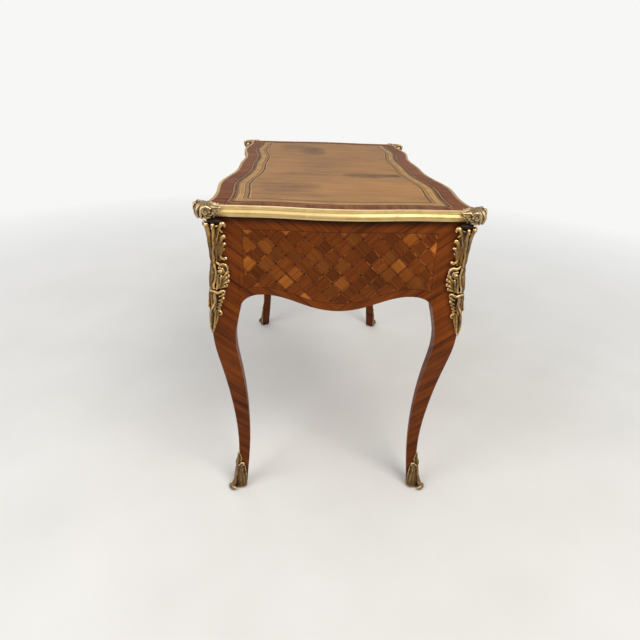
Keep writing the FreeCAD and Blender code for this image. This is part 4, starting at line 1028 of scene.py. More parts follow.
@dataclass
class CornerMount:
    """Leaf, shell and husk mount that wraps the knee of a leg."""

    finishes: Finishes

    def flare(self, casting: Casting) -> None:
        """The ribs on the arris, that curl outwards in a scroll under the clasp."""
        casting.bar(((0, 655, 2), (0, 690, 2.6), (0, 720, 3.4), (0, 738, 5)), (4.6, 5.4, 6, 6))
        casting.bars(((1.6, 664, 3), (2.4, 690, 3.4), (2.6, 716, 4.4), (2.2, 734, 7), (1.6, 743, 10)),
                     (3.6, 4.4, 4.8, 4.6, 3.6))
        casting.bar(((0, 655, 5), (0, 680, 6), (0, 705, 7.8), (0, 725, 10.6), (0, 739.6, 14.6),
                     (0, 744, 18), (0, 738.4, 20.4)),
                    (4.2, 4.8, 5.4, 5.6, 5.2, 4.6, 3))
        casting.bars(((0.8, 658, 7.2), (1.3, 670, 8.6), (1, 684, 8.8), (1.8, 697, 9.8), (1.6, 710, 10.6),
                      (2.2, 724, 12), (2.4, 737, 14.6), (2.4, 744.2, 17), (2, 741, 19), (1.8, 735, 18.2)),
                     (2.6, 3.6, 3, 3.9, 3.2, 4.2, 4.2, 4.1, 3.4, 2.3))
        casting.bars(((3.5, 672, 5), (5, 694, 6.6), (6.5, 714, 8), (8, 730, 9.6), (8.4, 738, 10.6)),
                     (3.4, 5.6, 6.4, 6, 3.6), flat=0.62)
        casting.bars(((3.6, 684, 9), (5.8, 700, 10.8), (8.8, 715, 12), (12.8, 728, 12)), (0.9, 1.6, 1.8, 1))
        for level, out, across in ((674, 8.6, 3.6), (688, 9.2, 4.4), (703, 10.2, 4.6), (717, 12.2, 4.4)):
            casting.beads((across, level, out - 2.2), (1.3, 5.4, 1.9), -14)

    def upper_leaf(self, casting: Casting) -> None:
        """The acanthus leaf on each face, with its scroll at the top."""
        casting.bars(((8, 662, 3), (10, 677, 5.6), (11, 694, 6.8), (10.4, 711, 7.2), (9.8, 727, 8)),
                     (4.4, 7.6, 9.6, 8.8, 5.4), flat=0.50)
        casting.bars(((7.5, 706, 6), (8.6, 719, 7.6), (12, 732, 8.8), (17, 741.6, 9.8), (22, 745, 9.8),
                      (26, 741.6, 8.6), (24, 737, 7.6)),
                     (2.6, 3.6, 4.2, 4.6, 4.8, 4.1, 3))
        casting.bars(((3.8, 662, 5.4), (4.8, 682, 7.2), (5.2, 704, 8.4), (5, 722, 10.6)),
                     (2.6, 4, 4.4, 3.4))
        casting.bars(((8, 672, 7.6), (9, 690, 10.8), (9, 708, 11.4), (10, 722, 11)), (0.6, 0.9, 1, 0.8))
        casting.bars(((9.5, 690, 6), (12.5, 702, 7.4), (16, 711, 8.4), (20.6, 717.5, 8.8),
                      (23.8, 717, 7.8), (23.2, 712.6, 6.6)),
                     (3.2, 4.2, 4.9, 4.9, 4, 2.8), flat=0.9)
        casting.bars(((11, 683, 5.4), (15.4, 692, 6.4), (20, 699.4, 7), (24.4, 701.5, 6.4),
                      (25, 698, 5.2)),
                     (3.2, 4, 4.2, 3.4, 2.2), flat=0.9)
        casting.bars(((11.5, 679, 4.4), (17, 685.5, 5.4), (21.6, 690.6, 5.4)), (2.8, 3.4, 2.2), flat=0.9)
        casting.bars(((9.5, 694, 6), (10.6, 682, 6.4), (12.4, 673, 6.4), (16.4, 667.6, 6.2),
                      (21.5, 667, 6)),
                     (2.8, 3.4, 3.5, 3.2, 3.2))
        casting.beads((23.2, 669.2, 6), (3.6, 3.6, 3.4))
        casting.bars(((12.5, 735, 10.6), (16.6, 729, 10), (19.6, 725, 8)), (2.8, 3.2, 1.8))
        casting.bars(((2.6, 737, 14), (7, 739.4, 11.6), (12.6, 739, 10)), (2.4, 2.8, 2.6))

    def shell(self, casting: Casting) -> None:
        """The cabochon and the ribbed shell with scalloped edge."""
        casting.bars(((8, 598, 1.4), (13, 612, 2.2), (16, 627, 2.6), (14.5, 641, 2.6), (10, 652, 2.4)),
                     (8, 13, 14, 12.4, 7), flat=0.34)
        casting.bar(((0, 664, 3), (0, 650, 4.4), (0, 632, 5), (0, 614, 5), (0, 600, 4.6)),
                    (4.4, 5.6, 6, 6, 5.4))
        casting.bars(((1, 661, 7), (1.4, 652, 8.6), (3, 641, 9.4), (3.4, 631, 9.8), (2, 620, 9.8),
                      (1, 611, 9.2), (1.6, 602, 8.4)),
                     (2.4, 3.2, 2.4, 3.4, 2.8, 3.2, 2.4))
        casting.beads((11.4, 641.6, 8.6), (6.2, 4.4, 4.2), 8)
        casting.bars(((5, 634.4, 8.6), (11, 634.6, 8.6), (17.6, 637.4, 8.2), (19.8, 642.6, 7.6),
                      (15, 648, 7.6), (7, 648.4, 8.6)),
                     (2, 2.1, 2.2, 2.2, 2.1, 2))
        casting.bars(((2, 662, 6.4), (7, 656.4, 8.2), (13, 655.4, 8.2), (18.6, 657, 7.6), (24, 653.6, 7),
                      (27.4, 647.4, 6.4), (26, 643, 6)),
                     (2.4, 3, 3.2, 3.3, 3.3, 2.8, 2))
        for across, level, size in ((28.0, 638.0, 4.4), (29.8, 628.8, 4.9), (29.8, 618.6, 4.8),
                                    (27.4, 608.6, 4.4)):
            casting.beads((across - 2.2, level, 4.6), (size * 1.1, size * 1.04, 3.6))
            casting.bars(((8, 602, 6), (14.6, level - (level - 603) * 0.50, 8),
                          (across - 3.4, level, 6.8)),
                         (2.4, 3.2, 3.4))
        casting.bars(((5, 600, 7.6), (7.6, 607, 9.4), (8.4, 615, 10.2), (6.6, 624, 10.2), (7.8, 632.6, 9)),
                     (2.2, 3.2, 2.9, 3.2, 2.2))
        casting.bars(((7, 601, 7), (11.6, 608, 8.6), (13.4, 616, 9.4), (12.6, 624, 9.4), (14.8, 632, 8.4)),
                     (2.2, 3.1, 2.8, 3.1, 2.2))
        casting.bars(((0, 597.4, 9.6), (5, 594, 9.4), (11, 593.6, 8.6), (16.6, 597, 7.8), (21.4, 598, 7),
                      (23.6, 594, 6.2), (21.6, 590.6, 6)),
                     (3.2, 3.6, 3.5, 3.3, 3.2, 2.6, 1.9))

    def husks(self, casting: Casting) -> None:
        """The falling husks and the pointed leaf at the bottom."""
        casting.bars(((8, 598, 1.6), (9.4, 582, 2.4), (8, 566, 2.6), (6.6, 548, 2.6)),
                     (8, 9, 8, 7), flat=0.42)
        casting.bar(((0, 604, 3.4), (0, 580, 4), (0, 560, 3.6), (0, 545, 3.4)), (5.6, 5.8, 5.4, 5))
        casting.bars(((2.6, 598, 7), (1.8, 589, 8.4), (2.8, 579, 8.4), (3.8, 569, 7.6), (2.8, 559, 7.2),
                      (1.8, 547, 6.4)),
                     (3.2, 4.2, 4.4, 3.4, 3.6, 2.4))
        chain = ((21.0, 589.0, 3.9), (20.6, 580.0, 3.9), (17.6, 571.8, 3.8), (14.8, 563.8, 3.6),
                 (13.2, 556.0, 3.3))
        for across, level, size in chain:
            casting.beads((across - 1.4, level, 5.2), (size * 1.2, size * 1.06, 3.6), 25)
            casting.bars(((across - 11, level - 6, 5.6), (across - 6.4, level - 4.6, 6.8),
                          (across - 1.6, level - 2, 6)),
                         (2.2, 2.7, 2.2))
        casting.bars(((3.4, 577, 9.6), (2, 568, 11.2), (1.2, 561, 12.2), (1, 556, 11)),
                     (2.2, 2.6, 2.2, 1.4))
        casting.bars(((9, 553, 6), (13.6, 551, 7), (17.6, 547.4, 7), (17.4, 542.4, 6.4),
                      (13.4, 541.6, 6.4)),
                     (2.8, 3.3, 3.2, 2.8, 2.4))
        casting.bars(((10, 551, 5.4), (9.4, 541, 5.8), (7.6, 528, 5.6), (5.4, 515, 4.4), (3.2, 503, 2.8)),
                     (3.2, 3.6, 3.2, 2.5, 1.2))
        casting.bars(((5, 552, 6.6), (5, 540, 7.2), (4.2, 526, 6.8), (3, 512, 5.2), (1.8, 500, 3.2)),
                     (2.8, 3.3, 3, 2.3, 1.1))
        casting.bar(((0, 552, 7.4), (0, 536, 8.4), (0, 518, 7), (0, 504, 4.6), (0, 494.5, 2)),
                    (3, 3.3, 2.8, 2, 1))
        casting.bar(((0, 556, 2.6), (0, 536, 3.4), (0, 518, 2.6), (0, 503, 1.6)), (5.6, 5.8, 4.6, 2.4))
        casting.bars(((3, 552, 2.4), (3, 536, 2.8), (2.4, 520, 2.4), (1.4, 505, 1.4)), (4.6, 4.6, 3.8, 1.8))

    def build(self) -> None:
        """Models the back right mount and copies it to the four legs."""
        casting = Casting("corner_mount", round_the_arris)
        self.flare(casting)
        self.upper_leaf(casting)
        self.shell(casting)
        self.husks(casting)
        # A dark collar between the clasp and the mount's top: painted shadow, not a part of the mount.
        casting.core((0, 747.6, 4.6), (22.0, 6.6, 9.4))
        copy_to_corners(casting.melt(worn=CHASING), "corner_mount", self.finishes.castings)


@dataclass(frozen=True)
class Arm:
    """One arm of a clasp: the ways along the edge and in over the top, and the face's place."""

    run: Vector
    side: Vector
    face: Vector
    stretch: float

    def over(self, ahead: float, inward: float, level: float) -> Place:
        """A place over the border: along the edge, in from it, and up."""
        spot = self.run * ahead * self.stretch + self.side * inward
        return (spot.x, spot.y, level)

    def on_face(self, ahead: float, proud: float, level: float) -> Place:
        """A place on the face of the edge: along it, a share of the way out, and up."""
        spot = self.run * ahead + self.face * proud
        return (spot.x, spot.y, level)


@dataclass
class Clasp:
    """Shell and leaf clasp over a corner of the top."""

    finishes: Finishes
    corner: Vector = field(default_factory=lambda: Vector((505.0, 294.0, 780.0)))
    ribs: int = 9
    first_rib: float = -38
    between_ribs: float = 20.75
    short_rib: float = 22.5
    longer_middle: float = 5.0
    furthest_x: float = 13.4
    furthest_y: float = 6.2
    volute: float = 7.8
    volute_steps: int = 14

    def at_corner(self, place: Vector) -> Vector:
        """Turns millimetres from the top's back right corner into the table's frame."""
        return (self.corner + place) * MILLIMETRE

    def fan(self, casting: Casting) -> None:
        """The ribbed shell that folds over the nose of the corner."""
        casting.bead((-9, -16, -12.6), (19.5, 21, 14))
        casting.bead((0, -24, -12), (12.4, 17, 12.6), 8)
        casting.bead((-22, -5, -12.4), (15, 12.4, 12.6), 8)
        casting.bead((-17, -22, -3.2), (13, 13, 5.8))
        casting.bar(((-19, -24, -6), (-19, -24, -1), (-19, -24, 1.6)), (4.8, 4.8, 2.8))
        hub = Vector((-15, -22))
        for number in range(self.ribs):
            angle = math.radians(self.first_rib + number * self.between_ribs)
            ahead = Vector((math.cos(angle), math.sin(angle)))
            proud = 1.0 - abs(number - self.ribs // 2) / (self.ribs // 2)
            reach = self.short_rib + self.longer_middle * proud
            rib = []
            for share, level in ((0.20, 0.4), (0.42, 0.6), (0.68, -1.8), (0.89, -6.4), (1.0, -13),
                                 (1.01, -20), (0.88, -27.0)):
                spot = hub + ahead * reach * share
                rib.append((min(spot.x, self.furthest_x), min(spot.y, self.furthest_y), level))
            casting.bar(rib, (2, 3.2, 3.7, 3.9, 3.8, 3))
            spot = hub + ahead * reach * 0.55
            casting.bead((spot.x, spot.y, 1), (2, 2, 2.4))

    def arms(self, casting: Casting) -> None:
        """Leaf arms along the two edges, with small curled lobes over the border."""
        for arm in (Arm(Vector((0, -1)), Vector((-1, 0)), Vector((10.6, 0)), 1.0),
                    Arm(Vector((-1, 0)), Vector((0, -1)), Vector((0, 4.4)), 0.7)):
            casting.bar((arm.over(22, 8, -0.8), arm.over(33, 3.4, 0.2),
                         arm.on_face(43 * arm.stretch, 0.55, 0), arm.on_face(52 * arm.stretch, 0.6, -2.4)),
                        (4.4, 4.4, 3.6, 1.6))
            for ahead, inward, thick in ((20, 17, 2.8), (28, 13.4, 2.8), (36, 9.4, 2.6), (43, 5.6, 2.2)):
                lobe = (arm.over(ahead - 4, inward - 8, -0.6), arm.over(ahead - 1, inward - 4, 0.6),
                        arm.over(ahead, inward, 0.0))
                casting.bar(lobe, (2.8, thick, thick * 0.8))
                casting.bead(arm.over(ahead + 1, inward, 0.2), (thick, thick, 2.2))
            for level, full, thick in ((-3, 51, 2.8), (-8, 46, 2.8), (-13.5, 38, 2.8), (-19, 33, 2.9),
                                       (-25, 28, 2.8)):
                length = full * arm.stretch
                casting.bar((arm.on_face(16, 0.9, level),
                             arm.on_face(16 + (length - 16) * 0.5, 1, level * 0.96),
                             arm.on_face(length, 0.92, level * 0.92 - 0.6)),
                            (2.6, thick, 1.9))
            for ahead, level in ((35.5, -15.6), (39.5, -11.0), (46.5, -7.4)):
                casting.bead(arm.on_face(ahead * arm.stretch, 0.92, level), (2.5, 2.5, 2.5))

    def rings(self, casting: Casting) -> None:
        """The volutes on the two faces of the edge."""
        second = Vector((0, 0, 1))
        for centre, first in ((Vector((14.0, -22, -11)), Vector((0, 1, 0))),
                              (Vector((-21, 7.0, -11)), Vector((1, 0, 0)))):
            spiral = []
            for number in range(self.volute_steps):
                angle = math.radians(200 - number * 40)
                radius = self.volute - number * 0.44
                spot = centre + first * math.cos(angle) * radius + second * math.sin(angle) * radius
                spiral.append(tuple(spot))
            casting.bar(spiral, (2.5, 2.3, 2, 1.7))
            casting.bead(tuple(centre), (2.8, 2.8, 2.8))
            bends = ((-11, 5), (-5, 9.4), (3, 9.6), (10, 5))
            tail = [tuple(centre + first * along + second * up) for along, up in bends]
            casting.bar(tail, (1.8, 2.6, 2.6, 1.8))

    def build(self) -> None:
        """Models the back right clasp and copies it to the four corners."""
        casting = Casting("clasp", self.at_corner)
        self.fan(casting)
        self.arms(casting)
        self.rings(casting)
        copy_to_corners(casting.melt(worn=CHASING), "clasp", self.finishes.lit_clasps)


@dataclass
class Shoe:
    """Leafy shoe on the foot of a leg, with its scrolled toe."""

    finishes: Finishes

    def stand(self, piece: bpy.types.Object) -> None:
        """Cuts the shoe flat where it stands on the floor."""
        edit_all(piece, bpy.ops.mesh.bisect, plane_co=(0, 0, SOLE_LEVEL), plane_no=(0, 0, 1),
                 clear_inner=True, use_fill=True)

    def build(self) -> None:
        """Models the back right shoe and copies it to the four feet."""
        casting = Casting("shoe", round_the_arris)
        casting.bar(((0, 119, 0.2), (0, 104, 1.6), (0, 88, 2.4), (0, 70, 2.8), (0, 50, 3.4), (0, 32, 5.2),
                     (0, 19, 9.6), (0, 10, 16), (0, 8, 20)),
                    (1, 2.4, 2.8, 3.2, 4.2, 5.6, 6.8, 7.2, 5.4))
        casting.bead((0, 9, 19.5), (1.8, 7.8, 5))
        casting.bar(((0, 119, -1), (0, 100, 0), (0, 80, 1), (0, 60, 1.4), (0, 40, 1.8), (0, 20, 4)),
                    (1.6, 4, 5, 5.6, 6.2, 7.6))
        casting.bars(((1.2, 112, -0.2), (3, 100, 0.4), (4, 88, 0.9), (4.6, 76, 1.4)), (1.4, 3, 3.8, 4.2))
        casting.bars(((0.6, 114, 1.4), (4.4, 105, 2.4), (7.4, 96, 2.8), (6.8, 88, 3.2), (2.4, 82, 3.6)),
                     (1, 1.6, 1.9, 1.8, 1.4))
        casting.bars(((3.6, 80, 1.6), (5.6, 66, 2.6), (8, 48, 3.4), (10.2, 30, 4.4), (11.4, 16, 5.4),
                      (11.6, 5, 5.8)),
                     (4.6, 9.2, 11.6, 13.2, 13.4, 13.4), flat=0.44)
        casting.bars(((1.5, 74, 6), (7, 83, 6.2), (13.4, 83, 5.4), (16, 77.4, 5), (12.4, 73.4, 5.2)),
                     (1.8, 2.3, 2.5, 2.2, 1.8))
        casting.beads((12.4, 78.2, 5), (2.2, 2.2, 2.2))
        casting.bars(((9, 71, 6), (12.4, 56, 7.2), (15, 38, 7.6), (16.6, 20, 8)), (0.8, 1.3, 1.4, 1))
        casting.bars(((17, 72, 2.2), (20.4, 56, 2.4), (22.8, 38, 2.4), (24.2, 18, 2.4)), (1.4, 1.9, 2, 2))
        casting.bars(((22.6, 4.6, -0.4), (23.6, 12, 1.4), (24.4, 20, 2.2)), (3.4, 3, 2))
        casting.bars(((0, 4.4, 8), (12, 4.4, 4.4), (23, 4.4, 1)), (4.4, 4.6, 4))
        casting.bar(((1, 2.5, -13), (12, 2.5, -12), (22, 2.5, -13)), (2.4, 2.4, 2.4))
        casting.bar(((12, 3, 0), (20, 3, -8), (24, 3, -20)), (2.8, 2.8, 2.8))
        piece = casting.melt(worn=CHASING)
        self.stand(piece)
        copy_to_corners(piece, "shoe", self.finishes.shoes)


@dataclass
class WritingSurface:
    """Leather, crossbanded border and brass edge of the top."""

    finishes: Finishes
    rings: tuple[float, ...] = (0.0, 0.003, 0.007, 0.012, 0.018, 0.025, 0.032, 0.040, 0.050)
    step: float = 0.022
    thickness: float = 0.0011

    def outline(self) -> list[Vector]:
        """Corner-to-corner places of the leather's upper edge, in order."""
        piece = node_copy("leather_inset", "outline_copy")
        high = max(vertex.co.z for vertex in piece.data.vertices)
        upper = {vertex.index for vertex in piece.data.vertices if vertex.co.z > high - 0.0001}
        uses: dict[tuple[int, int], int] = {}
        for polygon in piece.data.polygons:
            if all(index in upper for index in polygon.vertices):
                for edge in polygon.edge_keys:
                    uses[edge] = uses.get(edge, 0) + 1
        border = [edge for edge, count in uses.items() if count == 1]
        following: dict[int, list[int]] = {}
        for first, second in border:
            following.setdefault(first, []).append(second)
            following.setdefault(second, []).append(first)
        start = border[0][0]
        order = [start, following[start][0]]
        while True:
            ahead = [index for index in following[order[-1]] if index != order[-2]]
            if not ahead or ahead[0] == start:
                break
            order.append(ahead[0])
        places = [piece.data.vertices[index].co.copy() for index in order]
        bpy.data.objects.remove(piece)
        area = sum(a.x * b.y - b.x * a.y for a, b in zip(places, places[1:] + places[:1]))
        return places if area > 0 else places[::-1]

    def sides(self, places: Sequence[Vector]) -> list[list[Vector]]:
        """The outline's front, right, back and left side, anticlockwise from corner to corner."""
        count = len(places)
        turns = []
        for number, place in enumerate(places):
            before = (place - places[number - 1]).normalized()
            after = (places[(number + 1) % count] - place).normalized()
            turns.append((before.dot(after), number))
        corners = sorted(number for _, number in sorted(turns)[:4])
        chains = []
        for start, end in zip(corners, corners[1:] + [corners[0] + count]):
            chains.append([places[number % count] for number in range(start, end + 1)])
        middles = [(chain[0] + chain[-1]) / 2 for chain in chains]
        front = min(range(4), key=lambda number: middles[number].y)
        return [chains[(front + step) % 4] for step in range(4)]

    def along(self, chain: Sequence[Vector], shares: Sequence[float]) -> list[Vector]:
        """Places on a chain at shares of its length."""
        lengths = [0.0]
        for first, second in zip(chain, chain[1:]):
            lengths.append(lengths[-1] + (second - first).length)
        places = []
        for share in shares:
            wanted = share * lengths[-1]
            number = max(0, min(len(chain) - 2, int(np.searchsorted(lengths, wanted)) - 1))
            step = lengths[number + 1] - lengths[number]
            places.append(chain[number].lerp(chain[number + 1], (wanted - lengths[number]) / step))
        return places

    def shares(self, length: float) -> list[float]:
        """Grid shares of a side, close together near both ends."""
        near = [ring / length for ring in self.rings]
        count = round((length - 2 * self.rings[-1]) / self.step)
        middle = [near[-1] + (1 - 2 * near[-1]) * number / count for number in range(1, count)]
        return near + middle + [1 - share for share in reversed(near)]

    def edge_map(self, grid: Sequence[Vector], places: Sequence[Vector]) -> np.ndarray:
        """How far along the edge each place's nearest edge point is, and how far in the place lies."""
        starts = np.array([place.to_2d() for place in places])
        ends = np.roll(starts, -1, axis=0)
        step = ends - starts
        length = np.linalg.norm(step, axis=1)
        before = np.concatenate(([0.0], np.cumsum(length)[:-1]))
        result = np.empty((len(grid), 2))
        for number, place in enumerate(grid):
            away = np.array(place.to_2d()) - starts
            share = np.clip((away * step).sum(1) / length ** 2, 0, 1)
            distance = np.linalg.norm(away - step * share[:, None], axis=1)
            nearest = int(distance.argmin())
            result[number] = (before[nearest] + share[nearest] * length[nearest], distance[nearest])
        return result

    def leather(self) -> None:
        """The hide, with a map that runs along and in from its edge."""
        places = self.outline()
        front, right, back, left = self.sides(places)
        columns = self.shares((front[-1] - front[0]).length)
        rows = self.shares((right[-1] - right[0]).length)
        low, high = self.along(front, columns), self.along(back[::-1], columns)
        first, last = self.along(left[::-1], rows), self.along(right, rows)
        grid = []
        for row, v in enumerate(rows):
            for column, u in enumerate(columns):
                across = low[column] * (1 - v) + high[column] * v
                ahead = first[row] * (1 - u) + last[row] * u
                near, far = low[0] * (1 - u) + low[-1] * u, high[0] * (1 - u) + high[-1] * u
                grid.append(across + ahead - (near * (1 - v) + far * v))
        place_map = self.edge_map(grid, places)
        total = sum((b - a).length for a, b in zip(places, places[1:] + places[:1]))
        width = len(columns)
        faces = []
        for row in range(len(rows) - 1):
            for column in range(width - 1):
                start = row * width + column
                faces.append((start, start + 1, start + width + 1, start + width))
        mesh = bpy.data.meshes.new("tooled_leather")
        mesh.from_pydata(grid, [], faces)
        layer = mesh.uv_layers.new(name="edge_map")
        for polygon in mesh.polygons:
            anchor = place_map[polygon.vertices[0]][0]
            for loop, vertex in zip(polygon.loop_indices, polygon.vertices):
                along, inward = place_map[vertex]
                layer.data[loop].uv = (along - total * round((along - anchor) / total), inward)
        piece = only(add_object("tooled_leather", mesh))
        modify(piece, "SOLIDIFY", thickness=self.thickness, offset=-1.0)
        bpy.ops.object.shade_smooth_by_angle(angle=HIDE_ANGLE)
        dress(piece, "table", "tooled_leather", self.finishes.leather, "leather_inset")

    def build(self) -> None:
        """Dresses the top."""
        self.leather()
        paint_node("top_border", self.finishes.border)
        paint_node("top_board", self.finishes.oak_along)
        for side in ("front", "back", "left", "right"):
            name = "edge_moulding_" + side
            piece = node_copy(name, "brass_" + name)
            # The front and back edges take the darker copy of the brass, painted shade; the ends take the
            # bright copy.
            material = self.finishes.edge if side in ("left", "right") else self.finishes.shaded_long_edge
            dress(piece, "table", "polished_brass", material, name)


END_OUTLINE = ((0.0, 1.0), (0.25, 0.966), (0.516, 0.879), (0.775, 0.830), (0.91, 0.856), (1.0, 0.951))
SIDE_OUTLINE = ((0.0, 0.629), (0.28, 0.617), (0.40, 0.657), (0.51, 0.835), (0.64, 0.913), (0.78, 0.866),
                (0.89, 0.830), (0.958, 0.858), (1.0, 0.951))


def hanging(shares: Outline, depth: float = 0.206) -> Outline:
    """An outline's drops, turned into heights."""
    return tuple((share, FRAME_LEVEL - drop * depth) for share, drop in shares)


@dataclass
class Carcase:
    """Legs, ends, back, rails and hidden woodwork."""

    finishes: Finishes

    def smooth_wood(self, node: str, slot: str, material: bpy.types.Material) -> None:
        """Puts a smooth copy in the place of a CAD node of wood."""
        piece = node_copy(node, "veneered_" + node)
        dress(piece, "table", slot, material, node)

    def pins(self) -> None:
        """The pins of the mounts, those of the clasps driven down to their seats."""
        piece = node_copy("mount_pins", "driven_pins")
        for vertex in piece.data.vertices:
            if vertex.co.z > PIN_HEAD_LEVEL:
                vertex.co.z = PIN_HEAD_LEVEL + (vertex.co.z - PIN_HEAD_LEVEL) * PIN_HEAD_SHARE
        dress(piece, "table", "gilt_brass", self.finishes.fittings, "mount_pins")

    def build(self) -> None:
        """Dresses the carcase."""
        low, high = 0.540, 0.7300
        end_outline, back_outline = hanging(END_OUTLINE), hanging(SIDE_OUTLINE)
        end = Parquetry("end_parquetry", along_x=False, centre=0.0, half_span=0.2040, low=low, high=high,
                        outline=end_outline, middle=0.657, shift=-0.0064).material()
        back = Parquetry("back_parquetry", along_x=True, centre=0.0, half_span=0.4400, low=low, high=high,
                         outline=back_outline).material()
        for corner in Corner:
            self.smooth_wood("leg_" + corner.label, "veneer", self.finishes.veneer)
        for side in ("left", "right"):
            self.smooth_wood("end_panel_" + side, "parquetry", end)
        self.smooth_wood("back_panel", "parquetry", back)
        for node in ("front_apron", "front_top_rail"):
            self.smooth_wood(node, "veneer", self.finishes.veneer)
        for node in ("partition_left", "partition_right"):
            paint_node(node, self.finishes.partition)
        paint_node("drawer_runners", self.finishes.oak_across)
        paint_node("top_dowels", self.finishes.oak_across)
        self.pins()


@dataclass(frozen=True)
class FrontLayout:
    """Flat layout on a drawer's front: across from a middle line, up, and out from the wood."""

    middle: float
    face: float

    def __call__(self, place: Vector) -> Vector:
        """The place in the table's frame, in metres."""
        return Vector((self.middle + place.x, -self.face - place.z, place.y)) * MILLIMETRE


@dataclass
class Handle:
    """Drop handle: two leafy rosettes with eyed posts, and the bail that swings in them."""

    finishes: Finishes
    side: str
    level: float = 680.0
    half_span: float = 40.0
    face: float = 268.3
    standoff: float = 11.7
    leaves: int = 8
    leaf: tuple[tuple[float, float], ...] = ((2.6, 2.2), (5.6, 2.9), (8.2, 1.9), (9.6, 0.5))

    def layout(self) -> FrontLayout:
        """Layout about the handle's middle."""
        low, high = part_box(self.side + "_handle_bail")
        return FrontLayout((low.x + high.x) / 2 / MILLIMETRE, self.face)

    def mounts(self) -> None:
        """Rosettes of eight leaves, with leaf tails, and the posts and nuts."""
        casting = Casting(self.side + "_rosettes", self.layout(), 0.0006)
        middle = self.half_span
        casting.beads((middle, self.level, 0.6), (7.4, 7.4, 2))
        for number in range(self.leaves):
            angle = math.radians((number + 0.5) * 360 / self.leaves)
            ahead = Vector((math.cos(angle), math.sin(angle)))
            line = [(middle + ahead.x * reach, self.level + ahead.y * reach, out) for reach,
                    out in self.leaf]
            casting.bars(line, (1.2, 1.9, 2.1, 1.1))
        for rise in (1, -1):
            casting.bars(((middle, self.level + 8 * rise, 1.2),
                          (middle + 1, self.level + 12.5 * rise, 1.8),
                          (middle + 3.5, self.level + 16 * rise, 1.2),
                          (middle + 6.6, self.level + 16.4 * rise, 0.8)),
                         (2.2, 2, 1.6, 1))
            casting.bars(((middle, self.level + 8 * rise, 1.2),
                          (middle - 2.5, self.level + 12 * rise, 1.8),
                          (middle - 6, self.level + 13.4 * rise, 0.9)),
                         (2, 1.8, 0.9))
        casting.bars(((middle, self.level, 1), (middle, self.level, 4.6), (middle, self.level, 7.6)),
                     (3.6, 2.6, 3))
        for sign in (1, -1):
            for offset in (-1.5, 1.5):
                casting.ring((sign * middle + offset, self.level, self.standoff), (0, 90, 0), 3.8, 1.15)
            casting.shank((sign * middle, self.level, -16.0), 2.0, 33.0)
            casting.shank((sign * middle, self.level, -30.6), 4.6, 4.0, 6)
        piece = casting.melt(1)
        dress(piece, self.side + "_drawer", "gilt_brass", self.finishes.handles,
              self.side + "_handle_mounts")

    def bail(self) -> None:
        """The bail, with leaf swellings and a turned knob in its middle."""
        casting = Casting(self.side + "_bail_casting", self.layout(), 0.0006)
        top, out = self.level, self.standoff
        casting.bars(((36.4, top, out), (44, top, out), (50.4, top + 0.2, out), (52.4, top - 5, out),
                      (51.6, top - 15, out), (47.4, top - 22.6, out), (40, top - 25.6, out),
                      (28, top - 25, out), (14, top - 26.2, out), (0, top - 26.2, out)),
                     (1.9, 2, 2.1, 2.4, 2.9, 3.2, 2.7, 2.2, 2.1, 2.3))
        casting.beads((25, top - 25.2, out), (8.4, 3.3, 3.3), 2)
        for turn in range(4):
            angle = math.radians(45 + turn * 90)
            rise, proud = math.sin(angle) * 2.9, math.cos(angle) * 2.9
            casting.bars(((17, top - 25.8 + rise * 0.5, out + proud * 0.5),
                          (25, top - 25.2 + rise, out + proud),
                          (34, top - 25.4 + rise * 0.5, out + proud * 0.5)),
                         (0.7, 1.15, 0.7))
        casting.bars(((52, top - 8, out), (54, top - 12.6, out), (53.2, top - 17, out)), (1.6, 1.9, 1.2))
        casting.bars(((47, top - 24, out), (42.6, top - 28.4, out), (37, top - 28.4, out)), (1.8, 1.9, 1.1))
        casting.bead((0, top - 26.2, out), (4, 4.2, 4.2))
        casting.beads((6, top - 26.2, out), (1.5, 3.4, 3.4))
        casting.beads((9.4, top - 26.2, out), (1.1, 2.8, 2.8))
        piece = casting.melt(1)
        dress(piece, self.side + "_bail", "gilt_brass", self.finishes.handles, self.side + "_handle_bail")


@dataclass
class KeyPlate:
    """Scrolled plate round a keyhole."""

    finishes: Finishes
    drawer: str

    def build(self) -> None:
        """Puts scrolls, a shell and a pendant leaf on the pierced plate."""
        low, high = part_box(self.drawer + "_escutcheon")
        layout = FrontLayout((low.x + high.x) / 2 / MILLIMETRE, -(low.y + 0.0004) / MILLIMETRE)
        casting = Casting(self.drawer + "_scrolls", layout, 0.0005)
        casting.bars(((2.6, 738.6, 0.2), (7, 741.4, 0.8), (12, 740.6, 0.8), (13.4, 735.4, 0.8),
                      (11, 729.4, 0.8), (7.4, 729, 0.6), (7.8, 732.6, 0.5)),
                     (1, 1.6, 1.8, 1.8, 1.6, 1.3, 1))
        casting.bars(((10.6, 728, 0.6), (14, 724, 0.8), (16.4, 718.6, 0.8), (14, 712.4, 0.8),
                      (9.6, 711.6, 0.7), (9.6, 715, 0.6)),
                     (1.1, 1.6, 1.8, 1.7, 1.4, 1))
        casting.bars(((10.4, 710, 0.6), (8.6, 704.6, 0.8), (5, 700.6, 0.8), (1.2, 697.8, 0.6)),
                     (1.3, 1.8, 1.7, 1.1))
        casting.bar(((0, 711, 0.3), (0, 705, 1), (0, 698, 0.8)), (0.9, 1.8, 1))
        root = 732.6
        for lean in (-24, 0, 24):
            across, up = math.sin(math.radians(lean)) * 8.4, math.cos(math.radians(lean)) * 8.4
            casting.bar(((0, root, 0.4), (across * 0.6, root + up * 0.6, 1.2), (across, root + up, 0.6)),
                        (0.9, 1.4, 1.3))
        casting.beads((14.6, 731.6, 0.6), (1.5, 1.5, 1.2))
        scrolls = casting.melt(1)
        plate = node_copy(self.drawer + "_escutcheon", "plate_copy")
        piece = join_proud(scrolls, [plate], PLATE_RELIEF)
        piece.name = "scrolled_" + self.drawer + "_escutcheon"
        dress(piece, self.drawer, "gilt_brass", self.finishes.handles, self.drawer + "_escutcheon")


